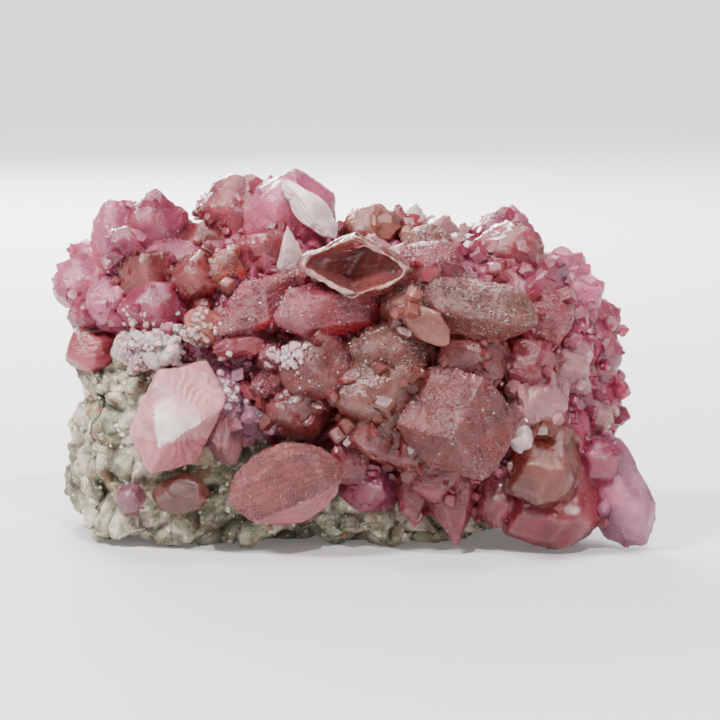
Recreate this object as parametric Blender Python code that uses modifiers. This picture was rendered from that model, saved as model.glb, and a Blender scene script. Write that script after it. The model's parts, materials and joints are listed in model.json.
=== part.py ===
"""Cobaltoan calcite specimen: rose crystals grown over one side and the top of a grey rock.

Run it with blender --background --python part.py, or from Blender's text editor.
Metres, +Z up. The origin is at the middle of the flat break that the specimen rests on, and the
crystals' best side faces -Y. Each crystal is the space inside calcite's own crystal faces.
"""

import math
import random
from collections import namedtuple

import bmesh
import bpy
from mathutils import Matrix, Vector, noise

MM = 0.001

# Sizes of the whole piece, in millimetres
ROCK_LEFT, ROCK_RIGHT = -24.0, 15.0
ROCK_FRONT, ROCK_BACK = -6.6, 14.0
ROCK_TOP = 19.5
GAP = 0.4

# Where the piece is looked at from when a crystal's place is given as seen from the front
VIEW_DISTANCE = 300.0
VIEW_TILT = math.radians(8.0)
VIEW_HEIGHT = 16.0

# Calcite's faces: tilt of the face normal from the c axis, half the angle between paired faces, and
# the turn of the first face about the axis, in degrees
FORMS = {
    "steep": (69.0, 19.1, 0.0),
    "middle": (63.1, 0.0, 60.0),
    "rhomb": (44.6, 0.0, 0.0),
    "blunt": (26.3, 0.0, 60.0),
    "prism": (90.0, 0.0, 30.0),
}

# A habit says how far out each form's faces stand
HABITS = {
    "petal": {"prism": 1.00, "rhomb": 1.25, "blunt": 1.40},
    "spear": {"steep": 1.00, "rhomb": 1.62},
    "tooth": {"steep": 1.00, "rhomb": 1.95},
    "lens": {"middle": 1.02, "rhomb": 1.10, "blunt": 1.02},
    "wedge": {"middle": 1.00, "rhomb": 1.42, "blunt": 1.75},
    "block": {"prism": 1.05, "rhomb": 1.00},
    "stub": {"middle": 1.00, "rhomb": 1.12},
}
MISSHAPE = 0.07
BLANK_SIZE = 8.0
# A crystal that points this much towards the front or back counts as seen end on
END_ON = 0.8

Crystal = namedtuple("Crystal", "name habit tip points size roll")

# name, habit, tip as seen from the front (across, up, depth), the way it points, then its length,
# width and thickness, and its roll in degrees. Lengths are in millimetres.
LEFT_PETALS = [
    Crystal("far_left", "petal", (-26.9, 7.1, 3.0), (-1.0, -0.1, 0.22), (9.0, 5.6, 4.6), 0),
    Crystal("left_behind", "petal", (-24.8, 10.5, 5.0), (-0.7, 0.2, 0.7), (7.5, 4.6, 3.6), 0),
    Crystal("left_bright", "petal", (-21.7, 14.4, 3.0), (-0.22, -0.1, 1.0), (11.0, 5.6, 4.4), 20),
    Crystal("left_tall", "petal", (-17.5, 15.1, 2.0), (0.02, -0.15, 1.0), (12.0, 6.6, 5.2), 10),
    Crystal("left_middle", "petal", (-18.9, 9.2, -4.5), (-0.15, -0.75, 0.7), (9.0, 5.8, 5.0), 30),
    Crystal("left_saddle", "petal", (-12.9, 12.3, 0.0), (0.05, -0.45, 0.9), (10.0, 6.4, 5.2), 0),
    Crystal("left_inner", "petal", (-14.2, 8.8, -5.4), (-0.1, -0.8, 0.6), (9.0, 5.8, 5.0), 60),
    Crystal("left_low", "petal", (-23.9, 5.3, -3.0), (-0.8, -0.5, 0.2), (9.0, 5.4, 4.8), 15),
    Crystal("left_front", "petal", (-18.7, 4.4, -7.0), (-0.25, -0.95, 0.1), (9.0, 6.4, 5.2), 0),
    Crystal("left_edge", "petal", (-25.6, 3.7, 0.0), (-1.0, -0.2, -0.1), (8.0, 4.8, 4.4), 45),
    Crystal("left_step", "spear", (-10.7, 9.6, -5.8), (0.2, -0.8, 0.6), (8.0, 4.8, 4.2), 0),
]
CREST = [
    Crystal("crest_round", "petal", (-11.2, 16.6, 3.0), (-0.2, -0.1, 1.0), (13.0, 7.6, 5.8), 0),
    Crystal("crest_side", "petal", (-13.5, 14.8, 5.0), (-0.6, 0.0, 0.8), (7.0, 4.0, 3.4), 0),
    Crystal("crest_big", "petal", (-5.2, 17.2, 1.0), (0.06, -0.1, 1.0), (13.0, 8.8, 6.4), 15),
    Crystal("crest_red", "petal", (-7.9, 11.0, -4.8), (0.0, -0.75, 0.7), (8.0, 5.4, 4.6), 40),
    Crystal("crest_white", "lens", (-1.2, 11.0, -2.6), (0.68, -0.2, -0.7), (6.8, 2.8, 3.6), 0),
    Crystal("white_blade", "tooth", (-5.6, 11.9, -6.4), (-0.05, -0.45, 0.9), (8.0, 2.6, 2.0), 0),
    Crystal("crest_amber", "petal", (1.8, 14.3, -1.0), (0.0, -0.3, 1.0), (11.0, 6.0, 5.0), 0),
    Crystal("crest_tip_a", "spear", (4.3, 14.2, 1.0), (-0.1, 0.0, 1.0), (8.0, 3.4, 3.0), 0),
    Crystal("crest_tip_b", "stub", (6.0, 14.1, 2.0), (0.15, 0.1, 1.0), (8.0, 4.0, 3.4), 30),
    Crystal("crest_tip_c", "petal", (8.6, 13.1, 1.0), (0.3, 0.0, 1.0), (8.0, 4.6, 3.8), 0),
    Crystal("crest_front", "petal", (7.2, 12.0, -3.0), (0.1, -0.5, 0.85), (8.0, 4.8, 4.2), 20),
    Crystal("frosted_wall", "petal", (7.4, 8.9, -9.5), (0.1, -0.85, 0.45), (10.0, 7.0, 5.8), 0),
]
RIGHT_FAN = [
    Crystal("fan_back", "petal", (14.0, 13.8, 5.0), (0.12, 0.0, 1.0), (10.0, 6.2, 4.6), 0),
    Crystal("fan_great", "petal", (17.2, 11.4, -1.0), (0.62, -0.4, 0.68), (14.0, 8.4, 6.6), 10),
    Crystal("fan_inner", "spear", (13.5, 8.2, -6.4), (0.2, -0.85, 0.45), (8.0, 5.0, 4.4), 0),
    Crystal("fan_upper", "petal", (20.8, 8.9, 3.0), (0.8, -0.1, 0.6), (11.0, 6.8, 4.8), 0),
    Crystal("fan_side", "petal", (22.8, 6.2, 0.0), (0.85, -0.3, 0.4), (10.0, 6.6, 5.2), 20),
    Crystal("fan_rear", "petal", (24.4, 4.4, 3.5), (0.95, 0.0, 0.3), (8.0, 5.0, 4.2), 0),
    Crystal("fan_level", "petal", (24.8, 0.6, 0.0), (0.95, -0.3, 0.1), (10.0, 7.2, 5.6), 0),
    Crystal("fan_lower", "petal", (24.8, -5.0, 0.5), (0.95, -0.3, -0.1), (9.0, 6.8, 5.2), 30),
    Crystal("fan_foot", "petal", (24.4, -9.8, -2.5), (0.9, -0.4, -0.3), (9.0, 6.0, 4.8), 0),
    Crystal("fan_pale", "petal", (21.2, -0.6, -6.5), (0.6, -0.75, 0.15), (9.0, 6.2, 5.2), 0),
    Crystal("fan_eye", "block", (20.5, -5.8, -7.4), (0.4, -0.9, 0.0), (7.0, 4.4, 4.2), 20),
    Crystal("frosted_bud", "petal", (20.1, 3.5, -8.0), (0.8, -0.55, 0.0), (8.0, 5.2, 4.6), 0),
]
FACE = [
    Crystal("frosted_slant", "spear", (-12.2, 2.1, -9.5), (-0.8, -0.35, -0.5), (10.0, 5.2, 4.6), 0),
    Crystal("slant_below", "lens", (-12.2, 0.8, -10.0), (-0.75, -0.6, -0.15), (8.0, 3.4, 3.2), 90),
    Crystal("salmon_bud", "block", (-13.6, 2.9, -9.8), (-0.1, -1.0, 0.15), (7.0, 4.0, 3.6), 30),
    Crystal("rose_bar", "petal", (-6.8, 3.6, -11.4), (-0.88, -0.42, -0.12), (10.5, 5.4, 4.6), 0),
    Crystal("brow", "petal", (5.6, 5.2, -12.4), (0.1, -0.9, 0.3), (10.0, 4.8, 4.8), 0),
    Crystal("olive_bar", "petal", (17.0, 3.4, -11.5), (0.95, -0.22, -0.16), (11.5, 5.4, 5.2), 35),
    Crystal("tongue", "lens", (9.0, 1.5, -13.8), (0.75, -0.42, -0.5), (6.2, 3.2, 1.6), 15),
    Crystal("centre_top", "petal", (3.6, 1.4, -13.2), (0.0, -0.85, 0.45), (10.0, 7.4, 6.0), 0),
    Crystal("centre_dark", "petal", (3.0, -4.8, -13.8), (0.0, -0.92, -0.3), (11.0, 8.8, 8.0), 0),
    Crystal("centre_left", "petal", (-3.6, -1.0, -12.6), (-0.2, -0.95, 0.0), (9.0, 7.2, 6.2), 20),
    Crystal("left_of_lens", "petal", (-4.8, -5.2, -11.4), (-0.1, -0.95, -0.1), (9.0, 6.4, 5.6), 0),
    Crystal("druse_upper", "stub", (-7.6, 0.2, -11.0), (-0.3, -0.9, 0.1), (7.0, 4.4, 3.8), 0),
    Crystal("druse_lower", "stub", (-9.2, -5.4, -10.2), (-0.2, -0.95, 0.1), (7.0, 4.6, 4.4), 25),
    Crystal("druse_corner", "stub", (-8.6, -2.6, -10.4), (-0.4, -0.9, 0.0), (7.0, 4.2, 4.0), 0),
    Crystal("rose_right", "petal", (11.6, 0.0, -12.4), (0.1, -0.95, 0.1), (9.0, 7.0, 6.0), 0),
    Crystal("rose_side", "petal", (17.1, -0.9, -10.4), (0.3, -0.9, 0.1), (8.0, 6.0, 5.4), 0),
    Crystal("spearhead", "wedge", (12.4, -11.0, -15.2), (0.42, -0.42, -0.80), (11.6, 10.4, 7.6), -24),
    Crystal("scallop", "petal", (16.4, -5.8, -10.6), (-0.1, -0.85, -0.5), (8.0, 6.4, 5.2), 0),
    Crystal("cleaved", "block", (15.6, -7.0, -11.6), (0.0, -0.95, 0.3), (4.0, 2.4, 2.4), 10),
    Crystal("chin_left", "petal", (1.2, -8.2, -12.2), (-0.2, -0.85, -0.4), (9.0, 6.4, 5.4), 0),
    Crystal("chin_middle", "petal", (5.6, -9.8, -11.8), (0.0, -0.8, -0.55), (8.0, 5.8, 5.0), 0),
]
UNDER = [
    Crystal("lilac_blade", "petal", (26.3, -17.0, -8.0), (0.42, -0.3, -0.85), (11.5, 6.4, 3.8), 20),
    Crystal("round_foot", "petal", (18.4, -17.2, -9.6), (0.05, -0.5, -0.85), (9.5, 9.6, 6.2), 0),
    Crystal("olive_round", "petal", (17.7, -13.0, -12.4), (0.0, -0.75, -0.66), (9.0, 6.6, 5.8), 0),
    Crystal("under_right", "petal", (13.4, -15.2, -9.4), (0.0, -0.5, -0.85), (8.0, 4.8, 4.4), 0),
    Crystal("down_tooth", "tooth", (9.6, -17.2, -9.4), (0.05, -0.25, -0.97), (12.0, 6.0, 4.6), 0),
    Crystal("under_middle", "spear", (5.6, -15.0, -9.0), (-0.1, -0.5, -0.85), (9.0, 5.0, 4.4), 0),
    Crystal("under_left", "petal", (1.4, -13.9, -9.0), (-0.1, -0.6, -0.8), (8.0, 5.4, 4.8), 0),
    Crystal("under_brow", "petal", (8.0, -12.6, -11.0), (0.0, -0.8, -0.6), (8.0, 5.4, 4.8), 0),
    Crystal("beside_lens", "petal", (-0.9, -11.0, -10.2), (-0.2, -0.8, -0.5), (8.0, 5.2, 4.8), 30),
]
CRUST = [
    Crystal("crust_left", "stub", (-20.7, 1.2, -7.8), (-0.4, -0.9, 0.2), (6.5, 3.6, 2.8), 0),
    Crystal("crust_low", "stub", (-19.4, -0.4, -8.4), (-0.1, -0.95, -0.1), (6.5, 3.2, 2.6), 40),
    Crystal("crust_top", "stub", (-17.6, 1.7, -8.8), (0.0, -0.95, 0.3), (6.5, 3.6, 2.8), 20),
    Crystal("crust_middle", "block", (-16.2, 0.3, -9.4), (0.1, -0.95, 0.0), (6.5, 3.2, 2.8), 10),
    Crystal("crust_right", "stub", (-10.9, -3.6, -9.8), (0.1, -0.95, 0.0), (6.0, 4.0, 5.4), 0),
    Crystal("crust_side", "petal", (-11.2, -7.6, -9.4), (0.0, -0.95, -0.2), (6.0, 4.0, 5.4), 0),
]

# The eye-shaped hollow of a crystal that lay on its side and broke out, and the thin wall left round it
SOCKET_AT = (0.4, 8.3, -11.6)
SOCKET_FACES = (-0.06, -0.96, 0.14)
SOCKET_POINTS = (0.98, -0.06, -0.09)
SOCKET_WALL = (10.2, 6.2, 9.0)
SOCKET_HOLLOW = (8.8, 5.0, 7.6)
SOCKET_WALL_SUNK = 1.2

# Crystals that stand on the rock by themselves, each a piece of its own
LENS = Crystal("lens_crystal", "lens", (-0.5, -9.6, -11.6), (0.93, -0.12, 0.32), (11.0, 8.0, 5.4), 28)
PALE = Crystal("pale_crystal", "block", (-15.6, -5.4, -14.2), (0.04, -0.98, 0.1), (12.5, 11.2, 6.8), 64)
PALE_CLEAVAGE = ((-15.8, -5.4, -12.5), (-0.02, -0.94, 0.34))
LILAC = Crystal("lilac_crystal", "petal", (-19.8, -12.3, -9.2), (0.05, -0.9, 0.3), (6.0, 2.9, 2.9), 0)
GLASSY = Crystal("glassy_crystal", "lens", (-12.4, -12.0, -9.4), (0.95, -0.25, 0.12), (5.8, 3.8, 4.6), 0)
ROUNDED = Crystal("rounded_crystal", "petal", (-25.6, 0.4, -2.4), (-0.85, -0.55, -0.05), (8.0, 5.2, 5.0), 0)
SINGLES = [LENS, PALE, LILAC, GLASSY, ROUNDED]

# The massive calcite that the crystals root in: middle and half sizes of its lobes
LOBES = [
    ((3.5, 0.0, 16.4), (19.5, 9.4, 11.0)),
    ((-14.5, 1.2, 20.6), (8.6, 6.0, 7.2)),
    ((12.0, -3.2, 8.6), (11.0, 6.8, 7.0)),
    ((-12.0, -5.6, 14.4), (6.4, 2.6, 4.6)),
]
LOBE_SQUARENESS = 2.6
LOBE_DETAIL = 2
LOBE_SUNK = 1.0

# More of it, out of sight between the roots of the front crystals
ROOT_FILLINGS = [
    ((7.8, -7.4, 12.0), (5.8, 4.2, 5.2)),
    ((-8.8, -2.0, 22.6), (3.0, 3.0, 2.6)),
]

# Small crystals that fill what the named ones leave, over the top, the right side and the back
FILL_SEED = 7
FILL_TRIES = 190
FILL_LENGTH = (6.0, 8.0)
FILL_WIDTH = (3.8, 5.6)
FILL_THICKNESS = (0.75, 0.95)
FILL_HABITS = ("petal", "stub")
# How far they lean out of true, how much they all tend upwards, and the share of the length that stands out
FILL_LEAN = 0.35
FILL_RISE = 0.15
FILL_PROUD = 0.32
# The least distance between tips, wider where the piece faces the front
FILL_CLEARANCE_FRONT = 4.5
FILL_CLEARANCE = 3.4
FACING_BACK = 0.2
# The rock is bare behind, so there they keep above it, and a tip must stand clear of it to grow
ROCK_BEHIND, ROCK_END = 3.0, 13.0
FILL_LOWEST_BEHIND = 18.5
FILL_LOWEST = 2.6
FILL_SHOWS = 0.6

# Breaks that shape the rock: a point on each and the way it faces
ROCK_BREAKS = [
    ((ROCK_LEFT, 0, 8), (-1.0, -0.08, 0.05)),
    ((ROCK_RIGHT, 0, 8), (1.0, 0.0, 0.1)),
    ((0, ROCK_FRONT, 8), (0.03, -1.0, 0.05)),
    ((-14, ROCK_BACK, 8), (-0.12, 1.0, 0.16)),
    ((4, ROCK_BACK, 8), (0.1, 1.0, -0.05)),
    ((0, ROCK_BACK, ROCK_TOP), (0.0, -0.12, 1.0)),
    ((-20.5, ROCK_FRONT, 8), (-0.55, -1.0, 0.0)),
    ((-20.0, ROCK_FRONT, 14.6), (-0.35, -0.5, 0.8)),
    ((-22.0, 12.0, 8), (-0.8, 0.7, 0.1)),
    ((13.0, 10.5, 9), (0.7, 0.8, 0.2)),
    ((0, ROCK_FRONT, 0.9), (0.0, -0.34, -0.94)),
    ((ROCK_RIGHT, 0, 3.0), (0.6, 0.0, -0.8)),
    ((ROCK_LEFT, 0, 1.2), (-0.7, 0.0, -0.7)),
    ((-4, ROCK_BACK, 16), (0.1, 0.75, 0.65)),
    ((-6, ROCK_BACK, 2), (-0.05, 0.8, -0.6)),
    ((8, ROCK_BACK - 3.0, 13), (0.35, 0.9, 0.3)),
    ((-17, ROCK_BACK - 1.0, 5), (-0.5, 0.8, -0.35)),
]
ROCK_BLOCK = 60.0
ROCK_GRAIN = 2.0
ROCK_LUMPS = ((8.0, 1.5), (3.2, 1.1), (2.3, 0.7))
# Pits in the rock: where, how wide and how deep
ROCK_PITS = [
    ((-11.6, -7.4, 4.6), 2.6, 2.4),
    ((-22.5, -6.8, 13.0), 2.4, 1.4),
    ((-4.0, -7.0, 2.4), 3.0, 1.6),
    ((-14.0, 14.6, 10.0), 4.0, 1.8),
    ((3.0, 14.4, 6.0), 5.0, 2.2),
]
ROCK_SINK = 2.0

COLOURS = {
    "rock": ((0.47, 0.45, 0.39), 0.85),
    "rose": ((0.72, 0.27, 0.33), 0.38),
    "dusky_rose": ((0.62, 0.24, 0.25), 0.42),
    "pale_rose": ((0.86, 0.62, 0.58), 0.45),
    "lilac": ((0.66, 0.56, 0.60), 0.25),
    "smoky": ((0.45, 0.36, 0.32), 0.20),
}


def from_front(across, up, depth):
    """The point, in metres, seen that far across and up from the view's middle, standing that far back."""
    slope = up / VIEW_DISTANCE
    reach = VIEW_DISTANCE + depth * math.cos(VIEW_TILT)
    rise = slope * reach - depth * math.sin(VIEW_TILT)
    rise /= math.cos(VIEW_TILT) + slope * math.sin(VIEW_TILT)
    away = VIEW_DISTANCE + depth * math.cos(VIEW_TILT) - rise * math.sin(VIEW_TILT)
    return Vector((across * away / VIEW_DISTANCE, depth, VIEW_HEIGHT + rise)) * MM


def face_planes(habit, seed):
    """(normal, distance) of each face of a habit, with the small unevenness of a real crystal."""
    chance = random.Random(seed)
    planes = []
    for form, reach in HABITS[habit].items():
        tilt, spread, first = FORMS[form]
        turns = [first + sign * spread for sign in (1, -1)] if spread else [first]
        ends = (1, -1) if tilt < 90 else (1,)
        count = 3 if tilt < 90 else 6
        for end in ends:
            for turn in turns:
                for k in range(count):
                    angle = math.radians(turn + k * 360 / count + (0 if end == 1 else 60))
                    lean = math.radians(tilt)
                    flat = math.sin(lean)
                    normal = Vector((flat * math.cos(angle), flat * math.sin(angle), end * math.cos(lean)))
                    planes.append((normal, reach * chance.uniform(1 - MISSHAPE, 1 + MISSHAPE)))
    return planes


def cut_away(bm, point, normal):
    """Cuts off what lies beyond a plane and closes the cut with a flat face."""
    everything = bm.verts[:] + bm.edges[:] + bm.faces[:]
    bmesh.ops.bisect_plane(bm, geom=everything, dist=1e-7, plane_co=point, plane_no=normal, clear_outer=True)
    rim = [edge for edge in bm.edges if edge.is_boundary]
    if rim:
        bmesh.ops.holes_fill(bm, edges=rim, sides=0)


def crystal_axes(points, roll):
    """Rotation that lays the c axis along points and the thin way towards the front, or else upwards."""
    along = Vector(points).normalized()
    faces = Vector((0, -1, 0)) if abs(along.y) < END_ON else Vector((0, 0, 1))
    thin = (faces - along * faces.dot(along)).normalized()
    wide = thin.cross(along)
    turn = Matrix.Rotation(math.radians(roll), 3, along)
    return (turn @ Matrix((wide, thin, along)).transposed()).to_4x4()


def crystal_body(crystal, centre=None, grow=0.0):
    """The crystal as a bmesh in metres. grow, in millimetres, stands every face that much further out."""
    planes = face_planes(crystal.habit, crystal.name)
    bm = bmesh.new()
    bmesh.ops.create_cube(bm, size=BLANK_SIZE)
    for normal, distance in planes:
        cut_away(bm, normal * distance, normal)
    length, width, thick = crystal.size
    for axis, wanted in enumerate((width, thick, length)):
        low = min(vert.co[axis] for vert in bm.verts)
        high = max(vert.co[axis] for vert in bm.verts)
        for vert in bm.verts:
            share = (vert.co[axis] - low) / (high - low) - 0.5
            vert.co[axis] = share * (wanted + 2 * grow) * MM
    if centre is None:
        centre = from_front(*crystal.tip) - Vector(crystal.points).normalized() * length / 2 * MM
    bm.transform(Matrix.Translation(centre) @ crystal_axes(crystal.points, crystal.roll))
    return bm


def material(name):
    """A plain finish of that colour and roughness."""
    made = bpy.data.materials.new(name)
    made.use_nodes = True
    colour, roughness = COLOURS[name]
    shader = made.node_tree.nodes["Principled BSDF"]
    shader.inputs["Base Color"].default_value = (*colour, 1)
    shader.inputs["Roughness"].default_value = roughness
    return made


def put(bm, name, collection, finish=None, guide=False):
    """Makes the bmesh an object. A guide only cuts or joins, so it isn't part of the specimen."""
    if bm.calc_volume(signed=True) < 0:
        bmesh.ops.reverse_faces(bm, faces=bm.faces)
    mesh = bpy.data.meshes.new(name)
    bm.to_mesh(mesh)
    bm.free()
    made = bpy.data.objects.new(name, mesh)
    collection.objects.link(made)
    if finish:
        mesh.materials.append(finish)
    if guide:
        made.hide_render = True
        made.display_type = "WIRE"
    return made


def boolean(target, operation, other):
    """Joins or cuts the target with an object or with a whole collection."""
    step = target.modifiers.new(operation.lower(), "BOOLEAN")
    step.operation = operation
    step.solver = "EXACT"
    if isinstance(other, bpy.types.Collection):
        step.operand_type = "COLLECTION"
        step.collection = other
    else:
        step.object = other


def rock_surface(grow):
    """The rock as a bmesh: a block broken along its fractures, then roughened, with a flat underside."""
    bm = bmesh.new()
    bmesh.ops.create_cube(bm, size=ROCK_BLOCK * MM)
    for point, normal in ROCK_BREAKS:
        cut_away(bm, Vector(point) * MM, Vector(normal).normalized())
    cut_away(bm, Vector((0, 0, -ROCK_SINK * MM)), Vector((0, 0, -1)))
    block = put(bm, "rock_block", bpy.context.scene.collection, guide=True)
    grain = block.modifiers.new("grain", "REMESH")
    grain.mode = "VOXEL"
    grain.voxel_size = ROCK_GRAIN * MM
    bpy.context.view_layer.update()
    evaluated = block.evaluated_get(bpy.context.evaluated_depsgraph_get())
    rough = bmesh.new()
    rough.from_mesh(evaluated.to_mesh())
    evaluated.to_mesh_clear()
    bpy.data.objects.remove(block)
    rough.normal_update()
    moves = []
    for vert in rough.verts:
        push = grow
        for size, height in ROCK_LUMPS:
            push += height * noise.noise(vert.co / (size * MM))
        for middle, width, depth in ROCK_PITS:
            away = (vert.co / MM - Vector(middle)).length / width
            push -= depth * math.exp(-away * away)
        moves.append(vert.normal * push * MM)
    for vert, move in zip(rough.verts, moves):
        vert.co += move
    cut_away(rough, Vector((0, 0, -grow * MM)), Vector((0, 0, -1)))
    return rough


def lobe_body(middle, half):
    """One square-shouldered lobe of massive calcite, a little inside the surface small crystals keep to."""
    bm = bmesh.new()
    bmesh.ops.create_icosphere(bm, subdivisions=LOBE_DETAIL, radius=1.0)
    for vert in bm.verts:
        total = sum(abs(c) ** LOBE_SQUARENESS for c in vert.co) ** (1 / LOBE_SQUARENESS)
        unit = vert.co / total
        vert.co = Vector([m + (h - LOBE_SUNK) * u for m, h, u in zip(middle, half, unit)]) * MM
    return bm


def inside_rock(point, margin):
    """True if a point, in millimetres, lies inside the rock's breaks by more than margin."""
    return all((Vector(p) - point).dot(Vector(n).normalized()) > margin for p, n in ROCK_BREAKS)


def fill_crystals(taken):
    """(crystal, centre) of the small crystals, spread evenly over the lobes and clear of the named ones."""
    chance = random.Random(FILL_SEED)
    grown = []
    for lobe, (middle, half) in enumerate(LOBES):
        tries = round(FILL_TRIES * half[0] / LOBES[0][1][0])
        for k in range(tries):
            height = 1 - 2 * (k + 0.5) / tries
            angle = k * math.pi * (3 - math.sqrt(5))
            ring = math.sqrt(1 - height * height)
            unit = Vector((ring * math.cos(angle), ring * math.sin(angle), height))
            total = sum(abs(c) ** LOBE_SQUARENESS for c in unit) ** (1 / LOBE_SQUARENESS)
            unit /= total
            slopes = [math.copysign(abs(u) ** (LOBE_SQUARENESS - 1), u) / h for u, h in zip(unit, half)]
            outward = Vector(slopes).normalized()
            root = Vector([m + h * u for m, h, u in zip(middle, half, unit)])
            length = chance.uniform(*FILL_LENGTH)
            width = chance.uniform(*FILL_WIDTH)
            lean = Vector([chance.uniform(-FILL_LEAN, FILL_LEAN) for _ in range(3)])
            points = (outward + lean + Vector((0, 0, FILL_RISE))).normalized()
            habit = chance.choice(FILL_HABITS)
            roll = chance.uniform(0, 180)
            centre = root + points * length * (FILL_PROUD - 0.5)
            tip = centre + points * length / 2
            over_rock = root.y > ROCK_BEHIND and root.x < ROCK_END
            lowest = FILL_LOWEST_BEHIND if over_rock else FILL_LOWEST
            if root.z < lowest or inside_rock(tip, -FILL_SHOWS):
                continue
            clearance = FILL_CLEARANCE if outward.y > FACING_BACK else FILL_CLEARANCE_FRONT
            if any((tip - other).length < clearance for other in taken):
                continue
            taken.append(tip)
            size = (length, width, width * chance.uniform(*FILL_THICKNESS))
            grown.append((Crystal(f"fill_{lobe}_{k}", habit, None, points, size, roll), centre * MM))
    return grown


def keep_on_rock(piece, rock_cutter):
    """Seats a piece on the rock, with a hair's gap."""
    boolean(piece, "DIFFERENCE", rock_cutter)


def build():
    for old in list(bpy.data.objects):
        bpy.data.objects.remove(old)
    specimen = bpy.data.collections.new("cobaltoan_calcite_specimen")
    roots = bpy.data.collections.new("joined_crystals")
    cutters = bpy.data.collections.new("cutters")
    for collection in (specimen, roots, cutters):
        bpy.context.scene.collection.children.link(collection)

    put(rock_surface(0.0), "matrix_rock", specimen, material("rock"))
    rock_cutter = put(rock_surface(GAP), "rock_cutter", cutters, guide=True)

    finishes = {"pale_crystal": "pale_rose", "lilac_crystal": "lilac", "glassy_crystal": "smoky"}
    for single in SINGLES:
        body = crystal_body(single)
        cutter = crystal_body(single, grow=GAP)
        if single is PALE:
            point, normal = PALE_CLEAVAGE
            cut_away(body, from_front(*point), Vector(normal).normalized())
        piece = put(body, single.name, specimen, material(finishes.get(single.name, "dusky_rose")))
        keep_on_rock(piece, rock_cutter)
        put(cutter, single.name + "_cutter", cutters, guide=True)

    named = LEFT_PETALS + CREST + RIGHT_FAN + FACE + UNDER + CRUST
    for crystal in named:
        put(crystal_body(crystal), "root_" + crystal.name, roots, guide=True)
    taken = [from_front(*crystal.tip) / MM for crystal in named + SINGLES]
    taken.append(from_front(*SOCKET_AT) / MM)
    for crystal, centre in fill_crystals(taken):
        put(crystal_body(crystal, centre=centre), "root_" + crystal.name, roots, guide=True)
    for number, (middle, half) in enumerate(LOBES[1:] + ROOT_FILLINGS):
        put(lobe_body(middle, half), f"root_lobe_{number}", roots, guide=True)
    socket_centre = from_front(*SOCKET_AT)
    wall = Crystal("socket_wall", "spear", None, SOCKET_POINTS, SOCKET_WALL, 0)
    inward = Vector(SOCKET_FACES).normalized() * MM
    wall_body = crystal_body(wall, centre=socket_centre - inward * SOCKET_WALL_SUNK)
    cut_away(wall_body, socket_centre, inward.normalized())
    put(wall_body, "root_socket_wall", roots, guide=True)

    cluster = put(lobe_body(*LOBES[0]), "crystal_cluster", specimen, material("rose"))
    boolean(cluster, "UNION", roots)
    hollow = Crystal("socket_hollow", "spear", None, SOCKET_POINTS, SOCKET_HOLLOW, 0)
    put(crystal_body(hollow, centre=socket_centre), "socket_cutter", cutters, guide=True)
    boolean(cluster, "DIFFERENCE", cutters)


build()
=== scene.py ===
# %% [markdown]
# # A cobaltoan calcite specimen
# Rose calcite crystals grew over the top, the front and one side of a grey rock. This lesson dresses the
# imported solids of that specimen: it makes every crystal again with softly curved faces, joins them into
# one body as nature did, sprinkles them with sugar-like frosting, roughens the rock, and gives each
# surface a procedural finish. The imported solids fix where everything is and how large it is.

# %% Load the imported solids
import itertools
import json
import math
import random
from collections import namedtuple

import bmesh
import bpy
import numpy as np
from mathutils import Matrix, Vector, kdtree, noise

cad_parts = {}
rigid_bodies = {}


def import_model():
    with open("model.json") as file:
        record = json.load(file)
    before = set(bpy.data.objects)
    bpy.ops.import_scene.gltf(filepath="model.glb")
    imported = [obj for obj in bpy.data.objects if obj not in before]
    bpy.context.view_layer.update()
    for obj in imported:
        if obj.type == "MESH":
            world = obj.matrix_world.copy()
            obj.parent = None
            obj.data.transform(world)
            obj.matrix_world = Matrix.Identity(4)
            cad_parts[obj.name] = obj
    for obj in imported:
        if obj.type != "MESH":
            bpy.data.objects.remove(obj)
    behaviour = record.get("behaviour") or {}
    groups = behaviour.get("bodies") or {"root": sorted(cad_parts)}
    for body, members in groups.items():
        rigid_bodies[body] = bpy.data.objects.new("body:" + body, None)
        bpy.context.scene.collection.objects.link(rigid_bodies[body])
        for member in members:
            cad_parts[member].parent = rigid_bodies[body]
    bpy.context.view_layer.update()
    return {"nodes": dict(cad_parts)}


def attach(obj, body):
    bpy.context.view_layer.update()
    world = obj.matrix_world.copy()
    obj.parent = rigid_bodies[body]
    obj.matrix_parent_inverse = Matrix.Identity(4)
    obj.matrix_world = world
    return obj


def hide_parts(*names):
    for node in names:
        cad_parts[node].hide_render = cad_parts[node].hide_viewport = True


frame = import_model()
MM = 0.001
print("solids:", sorted(frame["nodes"]))

# %% [markdown]
# ## The camera
# The photo looks at the specimen from a little above and close by. A long lens at 300 mm gives the same
# flat perspective. A camera could also be fitted by eye, but here the frame's real width is known: the
# picture spans 64.8 mm at the specimen. The two small shifts only place the specimen in the frame.

# %% The camera
VIEW_DISTANCE = 300.0
VIEW_TILT = math.radians(8.0)
VIEW_HEIGHT = 16.0
PICTURE_WIDTH = 64.8
PICTURE_PIXELS = 720
MOVED_LEFT_PIXELS, MOVED_UP_PIXELS = 10, -1
SENSOR = 36.0
CLIP_START = 10.0


def aim(placed, position, target):
    """Points a camera or a light at a target, both in millimetres."""
    placed.location = Vector(position) * MM
    towards = Vector(target) - Vector(position)
    placed.rotation_mode = "QUATERNION"
    placed.rotation_quaternion = towards.to_track_quat("-Z", "Y")
    bpy.context.scene.collection.objects.link(placed)


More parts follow.
